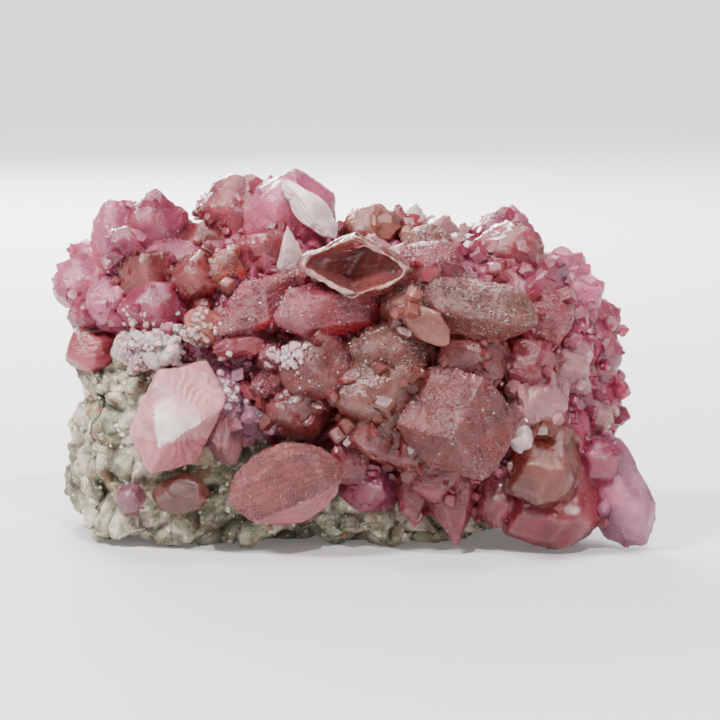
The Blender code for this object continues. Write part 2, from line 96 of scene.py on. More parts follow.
lens_data = bpy.data.cameras.new("view")
lens_data.sensor_width = SENSOR
lens_data.lens = SENSOR * VIEW_DISTANCE / PICTURE_WIDTH
lens_data.shift_x = MOVED_LEFT_PIXELS / PICTURE_PIXELS
lens_data.shift_y = MOVED_UP_PIXELS / PICTURE_PIXELS
lens_data.clip_start = CLIP_START * MM
camera = bpy.data.objects.new("view", lens_data)
eye = (0, -VIEW_DISTANCE * math.cos(VIEW_TILT), VIEW_HEIGHT + VIEW_DISTANCE * math.sin(VIEW_TILT))
aim(camera, eye, (0, 0, VIEW_HEIGHT))
bpy.context.scene.camera = camera
print("lens in mm:", round(lens_data.lens, 1))

# %% [markdown]
# ## The stage
# The specimen rests on a plain pale surface that curves up into a wall all the way round, like a wide
# bowl, so no hard horizon shows from any side. A flat plane and a separate wall would leave an edge. The
# bowl is one profile turned about the vertical axis. The paper glows a little, and more further out, which
# evens out what the lamps leave darker there.

# %% The stage's shape
STAGE_FLAT, STAGE_RISE, STAGE_TOP = 560.0, 300.0, 320.0
STAGE_SIDES, STAGE_STEPS = 96, 12
stage_profile = [Vector((0.0, 0, 0)), Vector((STAGE_FLAT, 0, 0))]
for step in range(1, STAGE_STEPS + 1):
    turn = math.radians(90 * step / STAGE_STEPS)
    across = STAGE_FLAT + STAGE_RISE * math.sin(turn)
    stage_profile.append(Vector((across, 0, STAGE_RISE * (1 - math.cos(turn)))))
stage_profile.append(Vector((STAGE_FLAT + STAGE_RISE, 0, STAGE_TOP)))

bowl_mesh = bmesh.new()
rim = [bowl_mesh.verts.new(point * MM) for point in stage_profile]
ribs = [bowl_mesh.edges.new(pair) for pair in zip(rim, rim[1:])]
bmesh.ops.spin(bowl_mesh, geom=rim + ribs, cent=(0, 0, 0), axis=(0, 0, 1), angle=math.tau,
               steps=STAGE_SIDES, use_merge=True)
bmesh.ops.remove_doubles(bowl_mesh, verts=bowl_mesh.verts, dist=1e-6)
bmesh.ops.recalc_face_normals(bowl_mesh, faces=bowl_mesh.faces)
stage_mesh = bpy.data.meshes.new("stage")
bowl_mesh.to_mesh(stage_mesh)
bowl_mesh.free()
stage_mesh.shade_smooth()
stage = bpy.data.objects.new("stage", stage_mesh)
bpy.context.scene.collection.objects.link(stage)
print("stage faces:", len(stage_mesh.polygons))

# %% The stage's paper
PAPER_COLOUR, PAPER_ROUGHNESS = (0.62, 0.61, 0.60, 1), 0.9
GLOW_FROM, GLOW_TO, GLOW = 120.0, 620.0, (0.10, 0.42)
stage_paint = bpy.data.materials.new("pale_paper")
stage_paint.use_nodes = True
paper = stage_paint.node_tree.nodes["Principled BSDF"]
paper.inputs["Base Color"].default_value = PAPER_COLOUR
paper.inputs["Roughness"].default_value = PAPER_ROUGHNESS
paper.inputs["Emission Color"].default_value = (1, 1, 1, 1)
paper_tree = stage_paint.node_tree
paper_place = paper_tree.nodes.new("ShaderNodeTexCoord").outputs["Object"]
how_far = paper_tree.nodes.new("ShaderNodeVectorMath")
how_far.operation = "LENGTH"
paper_tree.links.new(paper_place, how_far.inputs[0])
lift = paper_tree.nodes.new("ShaderNodeMapRange")
lift.inputs["From Min"].default_value = GLOW_FROM * MM
lift.inputs["From Max"].default_value = GLOW_TO * MM
lift.inputs["To Min"].default_value, lift.inputs["To Max"].default_value = GLOW
paper_tree.links.new(how_far.outputs["Value"], lift.inputs["Value"])
paper_tree.links.new(lift.outputs["Result"], paper.inputs["Emission Strength"])
stage_mesh.materials.append(stage_paint)
print("glow near and far:", GLOW)

# %% [markdown]
# ## The light
# Translucent crystals need light from behind as well as from the front: the light that comes through the
# thin tips is what makes them glow. Four soft panels do it: a key above left, a weak low fill, a wide one
# overhead, and a strong one behind that reaches the tips along the top. A fifth lights the far wall, so the
# background stays pale, and a small one makes the frosting sparkle. One lamp alone would leave the
# crystals dark inside.

# %% The light: where each panel is, what it faces, its side and its power
PANELS = {
    "key": ((-250, -170, 340), (0, 0, 14), 80, 3.2),
    "fill": ((300, -240, 110), (0, 0, 14), 200, 0.15),
    "overhead": ((20, 40, 420), (0, 0, 16), 220, 1.5),
    "behind": ((-90, 330, 190), (0, 0, 22), 160, 3.6),
    "backdrop": ((0, 280, 430), (0, 800, 0), 300, 5.0),
    "sparkle": ((70, -230, 290), (0, -8, 16), 10, 1.3),
}
SKY_COLOUR, SKY_STRENGTH = (0.78, 0.80, 0.84, 1), 0.17
for name, (position, target, side, power) in PANELS.items():
    panel_data = bpy.data.lights.new(name, "AREA")
    panel_data.size = side * MM
    panel_data.energy = power
    panel = bpy.data.objects.new(name, panel_data)
    aim(panel, position, target)
    panel.visible_camera = False
sky = bpy.data.worlds.new("studio")
bpy.context.scene.world = sky
sky.use_nodes = True
sky.node_tree.nodes["Background"].inputs["Color"].default_value = SKY_COLOUR
sky.node_tree.nodes["Background"].inputs["Strength"].default_value = SKY_STRENGTH
print("panels:", list(PANELS))

# %% [markdown]
# ## Calcite's own faces
# A crystal is the space inside a set of flat faces, and the angles between a mineral's faces are always
# the same. Each form below is one set of calcite faces, given by the tilt of its faces from the long
# axis. A habit says how far out each form stands. Modelling each crystal by hand would take days and the
# angles would be wrong; a list of forms makes any number of believable crystals.

# %% The forms and habits
FORMS = {
    "steep": (69.0, 19.1, 0.0),
    "middle": (63.1, 0.0, 60.0),
    "rhomb": (44.6, 0.0, 0.0),
    "blunt": (26.3, 0.0, 60.0),
    "prism": (90.0, 0.0, 30.0),
}
HABITS = {
    "petal": {"prism": 1.00, "rhomb": 1.25, "blunt": 1.40},
    "spear": {"steep": 1.00, "rhomb": 1.62},
    "tooth": {"steep": 1.00, "rhomb": 1.95},
    "lens": {"middle": 1.02, "rhomb": 1.10, "blunt": 1.02},
    "wedge": {"middle": 1.00, "rhomb": 1.42, "blunt": 1.75},
    "block": {"prism": 1.05, "rhomb": 1.00},
    "stub": {"middle": 1.00, "rhomb": 1.12},
}
MISSHAPE = 0.07


def crystal_faces(habit, name):
    """The unit normals of a habit's faces and how far out each stands, with a real crystal's unevenness."""
    chance = random.Random(name)
    normals, reaches = [], []
    for form, reach in HABITS[habit].items():
        tilt, spread, first = FORMS[form]
        lean = math.radians(tilt)
        turns = [first + sign * spread for sign in (1, -1)] if spread else [first]
        ends = (1, -1) if tilt < 90 else (1,)
        count = 3 if tilt < 90 else 6
        for end, turn, k in itertools.product(ends, turns, range(count)):
            angle = math.radians(turn + k * 360 / count + (0 if end == 1 else 60))
            flat = math.sin(lean)
            normals.append((flat * math.cos(angle), flat * math.sin(angle), end * math.cos(lean)))
            reaches.append(reach * chance.uniform(1 - MISSHAPE, 1 + MISSHAPE))
    return np.array(normals), np.array(reaches)


for habit in HABITS:
    print(habit, "has", len(crystal_faces(habit, habit)[1]), "faces")

# %% [markdown]
# ## Where each crystal stands
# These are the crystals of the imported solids, one line each: the tip as seen from the front, the way the
# crystal points, its length, width and thickness in millimetres, and its roll. The same list places the
# sharp solids and the soft ones here, so nothing has to be fitted afterwards.

# %% The crystals on the left and along the crest
Crystal = namedtuple("Crystal", "name habit tip points size roll")
LEFT_PETALS = [
    Crystal("far_left", "petal", (-26.9, 7.1, 3.0), (-1.0, -0.1, 0.22), (9.0, 5.6, 4.6), 0),
    Crystal("left_behind", "petal", (-24.8, 10.5, 5.0), (-0.7, 0.2, 0.7), (7.5, 4.6, 3.6), 0),
    Crystal("left_bright", "petal", (-21.7, 14.4, 3.0), (-0.22, -0.1, 1.0), (11.0, 5.6, 4.4), 20),
    Crystal("left_tall", "petal", (-17.5, 15.1, 2.0), (0.02, -0.15, 1.0), (12.0, 6.6, 5.2), 10),
    Crystal("left_middle", "petal", (-18.9, 9.2, -4.5), (-0.15, -0.75, 0.7), (9.0, 5.8, 5.0), 30),
    Crystal("left_saddle", "petal", (-12.9, 12.3, 0.0), (0.05, -0.45, 0.9), (10.0, 6.4, 5.2), 0),
    Crystal("left_inner", "petal", (-14.2, 8.8, -5.4), (-0.1, -0.8, 0.6), (9.0, 5.8, 5.0), 60),
    Crystal("left_low", "petal", (-23.9, 5.3, -3.0), (-0.8, -0.5, 0.2), (9.0, 5.4, 4.8), 15),
    Crystal("left_front", "petal", (-18.7, 4.4, -7.0), (-0.25, -0.95, 0.1), (9.0, 6.4, 5.2), 0),
    Crystal("left_edge", "petal", (-25.6, 3.7, 0.0), (-1.0, -0.2, -0.1), (8.0, 4.8, 4.4), 45),
    Crystal("left_step", "spear", (-10.7, 9.6, -5.8), (0.2, -0.8, 0.6), (8.0, 4.8, 4.2), 0),
]
CREST = [
    Crystal("crest_round", "petal", (-11.2, 16.6, 3.0), (-0.2, -0.1, 1.0), (13.0, 7.6, 5.8), 0),
    Crystal("crest_side", "petal", (-13.5, 14.8, 5.0), (-0.6, 0.0, 0.8), (7.0, 4.0, 3.4), 0),
    Crystal("crest_big", "petal", (-5.2, 17.2, 1.0), (0.06, -0.1, 1.0), (13.0, 8.8, 6.4), 15),
    Crystal("crest_red", "petal", (-7.9, 11.0, -4.8), (0.0, -0.75, 0.7), (8.0, 5.4, 4.6), 40),
    Crystal("crest_white", "lens", (-1.2, 11.0, -2.6), (0.68, -0.2, -0.7), (6.8, 2.8, 3.6), 0),
    Crystal("white_blade", "tooth", (-5.6, 11.9, -6.4), (-0.05, -0.45, 0.9), (8.0, 2.6, 2.0), 0),
    Crystal("crest_amber", "petal", (1.8, 14.3, -1.0), (0.0, -0.3, 1.0), (11.0, 6.0, 5.0), 0),
    Crystal("crest_tip_a", "spear", (4.3, 14.2, 1.0), (-0.1, 0.0, 1.0), (8.0, 3.4, 3.0), 0),
    Crystal("crest_tip_b", "stub", (6.0, 14.1, 2.0), (0.15, 0.1, 1.0), (8.0, 4.0, 3.4), 30),
    Crystal("crest_tip_c", "petal", (8.6, 13.1, 1.0), (0.3, 0.0, 1.0), (8.0, 4.6, 3.8), 0),
    Crystal("crest_front", "petal", (7.2, 12.0, -3.0), (0.1, -0.5, 0.85), (8.0, 4.8, 4.2), 20),
    Crystal("frosted_wall", "petal", (7.4, 8.9, -9.5), (0.1, -0.85, 0.45), (10.0, 7.0, 5.8), 0),
]
print("left and crest:", len(LEFT_PETALS) + len(CREST))

# %% The crystals on the right and across the front
RIGHT_FAN = [
    Crystal("fan_back", "petal", (14.0, 13.8, 5.0), (0.12, 0.0, 1.0), (10.0, 6.2, 4.6), 0),
    Crystal("fan_great", "petal", (17.2, 11.4, -1.0), (0.62, -0.4, 0.68), (14.0, 8.4, 6.6), 10),
    Crystal("fan_inner", "spear", (13.5, 8.2, -6.4), (0.2, -0.85, 0.45), (8.0, 5.0, 4.4), 0),
    Crystal("fan_upper", "petal", (20.8, 8.9, 3.0), (0.8, -0.1, 0.6), (11.0, 6.8, 4.8), 0),
    Crystal("fan_side", "petal", (22.8, 6.2, 0.0), (0.85, -0.3, 0.4), (10.0, 6.6, 5.2), 20),
    Crystal("fan_rear", "petal", (24.4, 4.4, 3.5), (0.95, 0.0, 0.3), (8.0, 5.0, 4.2), 0),
    Crystal("fan_level", "petal", (24.8, 0.6, 0.0), (0.95, -0.3, 0.1), (10.0, 7.2, 5.6), 0),
    Crystal("fan_lower", "petal", (24.8, -5.0, 0.5), (0.95, -0.3, -0.1), (9.0, 6.8, 5.2), 30),
    Crystal("fan_foot", "petal", (24.4, -9.8, -2.5), (0.9, -0.4, -0.3), (9.0, 6.0, 4.8), 0),
    Crystal("fan_pale", "petal", (21.2, -0.6, -6.5), (0.6, -0.75, 0.15), (9.0, 6.2, 5.2), 0),
    Crystal("fan_eye", "block", (20.5, -5.8, -7.4), (0.4, -0.9, 0.0), (7.0, 4.4, 4.2), 20),
    Crystal("frosted_bud", "petal", (20.1, 3.5, -8.0), (0.8, -0.55, 0.0), (8.0, 5.2, 4.6), 0),
]
FACE = [
    Crystal("frosted_slant", "spear", (-12.2, 2.1, -9.5), (-0.8, -0.35, -0.5), (10.0, 5.2, 4.6), 0),
    Crystal("slant_below", "lens", (-12.2, 0.8, -10.0), (-0.75, -0.6, -0.15), (8.0, 3.4, 3.2), 90),
    Crystal("salmon_bud", "block", (-13.6, 2.9, -9.8), (-0.1, -1.0, 0.15), (7.0, 4.0, 3.6), 30),
    Crystal("rose_bar", "petal", (-6.8, 3.6, -11.4), (-0.88, -0.42, -0.12), (10.5, 5.4, 4.6), 0),
    Crystal("brow", "petal", (5.6, 5.2, -12.4), (0.1, -0.9, 0.3), (10.0, 4.8, 4.8), 0),
    Crystal("olive_bar", "petal", (17.0, 3.4, -11.5), (0.95, -0.22, -0.16), (11.5, 5.4, 5.2), 35),
    Crystal("tongue", "lens", (9.0, 1.5, -13.8), (0.75, -0.42, -0.5), (6.2, 3.2, 1.6), 15),
    Crystal("centre_top", "petal", (3.6, 1.4, -13.2), (0.0, -0.85, 0.45), (10.0, 7.4, 6.0), 0),
    Crystal("centre_dark", "petal", (3.0, -4.8, -13.8), (0.0, -0.92, -0.3), (11.0, 8.8, 8.0), 0),
    Crystal("centre_left", "petal", (-3.6, -1.0, -12.6), (-0.2, -0.95, 0.0), (9.0, 7.2, 6.2), 20),
    Crystal("left_of_lens", "petal", (-4.8, -5.2, -11.4), (-0.1, -0.95, -0.1), (9.0, 6.4, 5.6), 0),
    Crystal("druse_upper", "stub", (-7.6, 0.2, -11.0), (-0.3, -0.9, 0.1), (7.0, 4.4, 3.8), 0),
    Crystal("druse_lower", "stub", (-9.2, -5.4, -10.2), (-0.2, -0.95, 0.1), (7.0, 4.6, 4.4), 25),
    Crystal("druse_corner", "stub", (-8.6, -2.6, -10.4), (-0.4, -0.9, 0.0), (7.0, 4.2, 4.0), 0),
    Crystal("rose_right", "petal", (11.6, 0.0, -12.4), (0.1, -0.95, 0.1), (9.0, 7.0, 6.0), 0),
    Crystal("rose_side", "petal", (17.1, -0.9, -10.4), (0.3, -0.9, 0.1), (8.0, 6.0, 5.4), 0),
    Crystal("spearhead", "wedge", (12.4, -11.0, -15.2), (0.42, -0.42, -0.80), (11.6, 10.4, 7.6), -24),
    Crystal("scallop", "petal", (16.4, -5.8, -10.6), (-0.1, -0.85, -0.5), (8.0, 6.4, 5.2), 0),
    Crystal("cleaved", "block", (15.6, -7.0, -11.6), (0.0, -0.95, 0.3), (4.0, 2.4, 2.4), 10),
    Crystal("chin_left", "petal", (1.2, -8.2, -12.2), (-0.2, -0.85, -0.4), (9.0, 6.4, 5.4), 0),
    Crystal("chin_middle", "petal", (5.6, -9.8, -11.8), (0.0, -0.8, -0.55), (8.0, 5.8, 5.0), 0),
]
print("right and front:", len(RIGHT_FAN) + len(FACE))

# %% The crystals underneath, the crust on the rock, and those that stand alone
UNDER = [
    Crystal("lilac_blade", "petal", (26.3, -17.0, -8.0), (0.42, -0.3, -0.85), (11.5, 6.4, 3.8), 20),
    Crystal("round_foot", "petal", (18.4, -17.2, -9.6), (0.05, -0.5, -0.85), (9.5, 9.6, 6.2), 0),
    Crystal("olive_round", "petal", (17.7, -13.0, -12.4), (0.0, -0.75, -0.66), (9.0, 6.6, 5.8), 0),
    Crystal("under_right", "petal", (13.4, -15.2, -9.4), (0.0, -0.5, -0.85), (8.0, 4.8, 4.4), 0),
    Crystal("down_tooth", "tooth", (9.6, -17.2, -9.4), (0.05, -0.25, -0.97), (12.0, 6.0, 4.6), 0),
    Crystal("under_middle", "spear", (5.6, -15.0, -9.0), (-0.1, -0.5, -0.85), (9.0, 5.0, 4.4), 0),
    Crystal("under_left", "petal", (1.4, -13.9, -9.0), (-0.1, -0.6, -0.8), (8.0, 5.4, 4.8), 0),
    Crystal("under_brow", "petal", (8.0, -12.6, -11.0), (0.0, -0.8, -0.6), (8.0, 5.4, 4.8), 0),
    Crystal("beside_lens", "petal", (-0.9, -11.0, -10.2), (-0.2, -0.8, -0.5), (8.0, 5.2, 4.8), 30),
]
CRUST = [
    Crystal("crust_left", "stub", (-20.7, 1.2, -7.8), (-0.4, -0.9, 0.2), (6.5, 3.6, 2.8), 0),
    Crystal("crust_low", "stub", (-19.4, -0.4, -8.4), (-0.1, -0.95, -0.1), (6.5, 3.2, 2.6), 40),
    Crystal("crust_top", "stub", (-17.6, 1.7, -8.8), (0.0, -0.95, 0.3), (6.5, 3.6, 2.8), 20),
    Crystal("crust_middle", "block", (-16.2, 0.3, -9.4), (0.1, -0.95, 0.0), (6.5, 3.2, 2.8), 10),
    Crystal("crust_right", "stub", (-10.9, -3.6, -9.8), (0.1, -0.95, 0.0), (6.0, 4.0, 5.4), 0),
    Crystal("crust_side", "petal", (-11.2, -7.6, -9.4), (0.0, -0.95, -0.2), (6.0, 4.0, 5.4), 0),
]
LENS = Crystal("lens_crystal", "lens", (-0.5, -9.6, -11.6), (0.93, -0.12, 0.32), (11.0, 8.0, 5.4), 28)
PALE = Crystal("pale_crystal", "block", (-15.6, -5.4, -14.2), (0.04, -0.98, 0.1), (12.5, 11.2, 6.8), 64)
PALE_CLEAVAGE = ((-15.8, -5.4, -12.5), (-0.02, -0.94, 0.34))
LILAC = Crystal("lilac_crystal", "petal", (-19.8, -12.3, -9.2), (0.05, -0.9, 0.3), (6.0, 2.9, 2.9), 0)
GLASSY = Crystal("glassy_crystal", "lens", (-12.4, -12.0, -9.4), (0.95, -0.25, 0.12), (5.8, 3.8, 4.6), 0)
ROUNDED = Crystal("rounded_crystal", "petal", (-25.6, 0.4, -2.4), (-0.85, -0.55, -0.05), (8.0, 5.2, 5.0), 0)
SINGLES = [LENS, PALE, LILAC, GLASSY, ROUNDED]
NAMED = LEFT_PETALS + CREST + RIGHT_FAN + FACE + UNDER + CRUST
print("named crystals:", len(NAMED), "and", len(SINGLES), "alone")

# %% [markdown]
# ## A crystal with curved faces
# Sharp flat faces look like cut glass. Real cobaltoan calcite has faces that bulge, edges that are worn
# round, and fine growth ledges. A ball of points is pushed out to a surface part way between the flat
# faces and a broad-shouldered dome that fits the same box, which makes each face bulge and keeps the edges
# between them. Where faces meet, a power mean keeps the edge soft: the higher the power, the sharper it
# is. A bevel could round the edges too, but it would leave the faces dead flat.

# %% A ball of points, kept for each level of detail
COARSE, MIDDLING, FINE = 4, 5, 6
BALLS = {}


def ball(level):
    """Unit directions and triangles of an icosphere."""
    if level not in BALLS:
        bm = bmesh.new()
        bmesh.ops.create_icosphere(bm, subdivisions=level, radius=1.0)
        points = np.array([vert.co for vert in bm.verts])
        faces = np.array([[vert.index for vert in face.verts] for face in bm.faces])
        bm.free()
        BALLS[level] = (points / np.linalg.norm(points, axis=1)[:, None], faces)
    return BALLS[level]


print("triangles, coarse to fine:", [len(ball(level)[1]) for level in (COARSE, MIDDLING, FINE)])

# %% Waves for curved faces and growth lines
def waves(points, length, seed, count=7):
    """A smooth, uneven swell between about -1 and 1 whose waves are about that long."""
    chance = np.random.default_rng(seed)
    total = np.zeros(len(points))
    for _ in range(count):
        direction = chance.normal(size=3)
        direction *= math.tau / (length * chance.uniform(0.7, 1.4) * np.linalg.norm(direction))
        total += np.sin(points @ direction + chance.uniform(0, math.tau))
    return total / math.sqrt(count)


def seed_of(name):
    """A number that belongs to a name, the same on each run."""
    return random.Random(name).randrange(1 << 30)


print("a swell at three points:", waves(np.eye(3), 2.0, 1).round(2))

# %% The soft crystal itself
EDGE_POWER = {"petal": 52, "spear": 52, "tooth": 56, "lens": 52, "block": 56, "stub": 48, "wedge": 60}
BULGE = {
    "petal": 0.15, "spear": 0.13, "tooth": 0.10, "lens": 0.13, "block": 0.08, "stub": 0.13, "wedge": 0.10,
}
SHOULDER = 2.5
SWELL, SWELL_LENGTH, SWELL_LEVEL = 0.10, 3.2, 0.6
RIB, RIBS_ROUND = 0.045, 26
RIB_WANDER, RIB_WANDER_LENGTH = 1.5, 2.5
LEDGE_HEIGHT = 0.95
LEDGE_WANDER, LEDGE_WANDER_LENGTH = 0.35, 2.2
LIP, LIP_GAIN, LIP_EDGE = 0.16, 4, 0.7
PLAIN_LEDGE = 0.08
WEAR, WEAR_LENGTH = 0.16, 0.9
FULL_RELIEF_THICKNESS = 4
LEDGES = {
    "fan_great": 0.26, "fan_side": 0.22, "fan_upper": 0.20, "fan_pale": 0.24, "fan_level": 0.20,
    "fan_lower": 0.18, "left_low": 0.20, "left_front": 0.12, "lilac_blade": 0.18, "crest_amber": 0.14,
    "rose_side": 0.16, "scallop": 0.16, "left_inner": 0.14, "frosted_bud": 0.14,
}


def soft_crystal(crystal, level):
    """Points in millimetres about the crystal's middle, how near an edge and how far to the tip each is."""
    normals, reaches = crystal_faces(crystal.habit, crystal.name)
    directions, _ = ball(level)
    power = EDGE_POWER[crystal.habit]
    shares = np.maximum(directions @ (normals / reaches[:, None]).T, 0.0)
    flat = (shares ** power).sum(axis=1) ** (1 / power)
    edge = np.clip((1 - shares.max(axis=1) / flat) / (1 - 2 ** (-1 / power)), 0, 1)
    sharp = directions / flat[:, None]
    half = np.abs(sharp).max(axis=0)
    bulge = BULGE[crystal.habit]
    dome = (np.abs(directions / half) ** SHOULDER).sum(axis=1) ** (1 / SHOULDER)
    unit = directions / ((1 - bulge) * flat + bulge * dome)[:, None]
    length, width, thick = crystal.size
    low, high = unit.min(axis=0), unit.max(axis=0)
    wanted = np.array((width, thick, length))
    points = ((unit - low) / (high - low) - 0.5) * wanted
    outward = points / (wanted / 2) ** 2
    outward /= np.linalg.norm(outward, axis=1)[:, None]
    seed = seed_of(crystal.name)
    angle = np.arctan2(points[:, 1], points[:, 0])
    ribs = np.sin(RIBS_ROUND * angle + RIB_WANDER * waves(points, RIB_WANDER_LENGTH, seed + 1))
    climb = np.abs(points[:, 2]) / LEDGE_HEIGHT
    climb = climb + LEDGE_WANDER * waves(points, LEDGE_WANDER_LENGTH, seed + 2)
    ledge = climb % 1.0
    inward = SWELL * (SWELL_LEVEL + waves(points, SWELL_LENGTH, seed)) + RIB * (1 - ribs)
    step_in = LEDGES.get(crystal.name, PLAIN_LEDGE)
    inward += step_in * ledge
    inward += WEAR * edge * np.maximum(waves(points, WEAR_LENGTH, seed + 3), 0)
    relief = min(1.0, thick / FULL_RELIEF_THICKNESS)
    points = points - outward * np.maximum(inward, 0.0)[:, None] * relief
    lip = (ledge < LIP) * min(1.0, LIP_GAIN * step_in)
    return points, np.maximum(edge, LIP_EDGE * lip), points[:, 2] / length + 0.5


sample = soft_crystal(PALE, COARSE)[0]
print("pale crystal, soft, in mm:", np.ptp(sample, axis=0).round(1))

# %% Turning a crystal to where it points
END_ON = 0.8


def from_front(across, up, depth):
    """The point, in millimetres, seen that far across and up from the view's middle, that far back."""
    slope = up / VIEW_DISTANCE
    reach = VIEW_DISTANCE + depth * math.cos(VIEW_TILT)
    rise = slope * reach - depth * math.sin(VIEW_TILT)
    rise /= math.cos(VIEW_TILT) + slope * math.sin(VIEW_TILT)
    away = VIEW_DISTANCE + depth * math.cos(VIEW_TILT) - rise * math.sin(VIEW_TILT)
    return Vector((across * away / VIEW_DISTANCE, depth, VIEW_HEIGHT + rise))


def crystal_turn(points, roll):
    """The rotation that lays the long axis along points, with the thin way towards the front or upwards."""
    along = Vector(points).normalized()
    faces = Vector((0, -1, 0)) if abs(along.y) < END_ON else Vector((0, 0, 1))
    thin = (faces - along * faces.dot(along)).normalized()
    wide = thin.cross(along)
    return Matrix.Rotation(math.radians(roll), 3, along) @ Matrix((wide, thin, along)).transposed()


def middle_of(crystal):
    """The crystal's middle, half its length behind the tip."""
    return from_front(*crystal.tip) - Vector(crystal.points).normalized() * crystal.size[0] / 2


print("the lens crystal's middle in mm:", [round(c, 1) for c in middle_of(LENS)])

# %% [markdown]
# ## The massive calcite and the small crystals on it
# Between the large crystals the calcite is massive, and small crystals cover it wherever there was room
# to grow. They are not placed by hand: a spiral of points spreads evenly over each lobe, and a point
# grows a crystal only if it is clear of the tips that are already there.

# %% The lobes and the rock's breaks
LOBES = [
    ((3.5, 0.0, 16.4), (19.5, 9.4, 11.0)),
    ((-14.5, 1.2, 20.6), (8.6, 6.0, 7.2)),
    ((12.0, -3.2, 8.6), (11.0, 6.8, 7.0)),
    ((-12.0, -5.6, 14.4), (6.4, 2.6, 4.6)),
]
LOBE_SQUARENESS = 2.6
LOBE_SUNK = 1.0
ROOT_FILLINGS = [
    ((7.8, -7.4, 12.0), (5.8, 4.2, 5.2)),
    ((-8.8, -2.0, 22.6), (3.0, 3.0, 2.6)),
]
ROCK_LEFT, ROCK_RIGHT = -24.0, 15.0
ROCK_FRONT, ROCK_BACK = -6.6, 14.0
ROCK_TOP = 19.5
ROCK_BREAKS = [
    ((ROCK_LEFT, 0, 8), (-1.0, -0.08, 0.05)),
    ((ROCK_RIGHT, 0, 8), (1.0, 0.0, 0.1)),
    ((0, ROCK_FRONT, 8), (0.03, -1.0, 0.05)),
    ((-14, ROCK_BACK, 8), (-0.12, 1.0, 0.16)),
    ((4, ROCK_BACK, 8), (0.1, 1.0, -0.05)),
    ((0, ROCK_BACK, ROCK_TOP), (0.0, -0.12, 1.0)),
    ((-20.5, ROCK_FRONT, 8), (-0.55, -1.0, 0.0)),
    ((-20.0, ROCK_FRONT, 14.6), (-0.35, -0.5, 0.8)),
    ((-22.0, 12.0, 8), (-0.8, 0.7, 0.1)),
    ((13.0, 10.5, 9), (0.7, 0.8, 0.2)),
    ((0, ROCK_FRONT, 0.9), (0.0, -0.34, -0.94)),
    ((ROCK_RIGHT, 0, 3.0), (0.6, 0.0, -0.8)),
    ((ROCK_LEFT, 0, 1.2), (-0.7, 0.0, -0.7)),
    ((-4, ROCK_BACK, 16), (0.1, 0.75, 0.65)),
    ((-6, ROCK_BACK, 2), (-0.05, 0.8, -0.6)),
    ((8, ROCK_BACK - 3.0, 13), (0.35, 0.9, 0.3)),
    ((-17, ROCK_BACK - 1.0, 5), (-0.5, 0.8, -0.35)),
]
print("lobes:", len(LOBES), "breaks:", len(ROCK_BREAKS))

# %% The small crystals
FILL_SEED = 7
FILL_TRIES = 190
FILL_LENGTH = (6.0, 8.0)
FILL_WIDTH = (3.8, 5.6)
FILL_THICKNESS = (0.75, 0.95)
FILL_HABITS = ("petal", "stub")
FILL_LEAN = 0.35
FILL_RISE = 0.15
FILL_PROUD = 0.32
FILL_CLEARANCE_FRONT = 4.5
FILL_CLEARANCE = 3.4
FACING_BACK = 0.2
ROCK_BEHIND, ROCK_END = 3.0, 13.0
FILL_LOWEST_BEHIND = 18.5
FILL_LOWEST = 2.6
FILL_SHOWS = 0.6
SOCKET_AT = (0.4, 8.3, -11.6)


def inside_rock(point, margin):
    """True if a point lies inside the rock's breaks by more than margin."""
    return all((Vector(p) - point).dot(Vector(n).normalized()) > margin for p, n in ROCK_BREAKS)


def fill_crystals(taken):
    """(crystal, middle) of each small crystal."""
    chance = random.Random(FILL_SEED)
    grown = []
    for lobe, (middle, half) in enumerate(LOBES):
        tries = round(FILL_TRIES * half[0] / LOBES[0][1][0])
        for k in range(tries):
            height = 1 - 2 * (k + 0.5) / tries
            angle = k * math.pi * (3 - math.sqrt(5))
            ring = math.sqrt(1 - height * height)
            unit = Vector((ring * math.cos(angle), ring * math.sin(angle), height))
            total = sum(abs(c) ** LOBE_SQUARENESS for c in unit) ** (1 / LOBE_SQUARENESS)
            unit /= total
            slopes = [math.copysign(abs(u) ** (LOBE_SQUARENESS - 1), u) / h for u, h in zip(unit, half)]
            outward = Vector(slopes).normalized()
            root = Vector([m + h * u for m, h, u in zip(middle, half, unit)])
            length = chance.uniform(*FILL_LENGTH)
            width = chance.uniform(*FILL_WIDTH)
            lean = Vector([chance.uniform(-FILL_LEAN, FILL_LEAN) for _ in range(3)])
            points = (outward + lean + Vector((0, 0, FILL_RISE))).normalized()
            habit = chance.choice(FILL_HABITS)
            roll = chance.uniform(0, 180)
            centre = root + points * length * (FILL_PROUD - 0.5)
            tip = centre + points * length / 2
            over_rock = root.y > ROCK_BEHIND and root.x < ROCK_END
            lowest = FILL_LOWEST_BEHIND if over_rock else FILL_LOWEST
            if root.z < lowest or inside_rock(tip, -FILL_SHOWS):
                continue
            clearance = FILL_CLEARANCE if outward.y > FACING_BACK else FILL_CLEARANCE_FRONT
            if any((tip - other).length < clearance for other in taken):
                continue
            taken.append(tip)
            size = (length, width, width * chance.uniform(*FILL_THICKNESS))
            grown.append((Crystal(f"fill_{lobe}_{k}", habit, None, points, size, roll), centre))
    return grown


tips = [from_front(*crystal.tip) for crystal in NAMED + SINGLES] + [from_front(*SOCKET_AT)]
SMALL = fill_crystals(tips)
print("small crystals:", len(SMALL))

# %% [markdown]
# ## The colour of each crystal
# Cobalt colours calcite unevenly. The ends of the specimen are clean pink, the middle is a dusky rose that
# goes to olive brown, and fresh breaks and roots are almost white. Each tint is one named colour, and
# the crystals that have it are listed under it. Painting the colours on would fix them to one view.

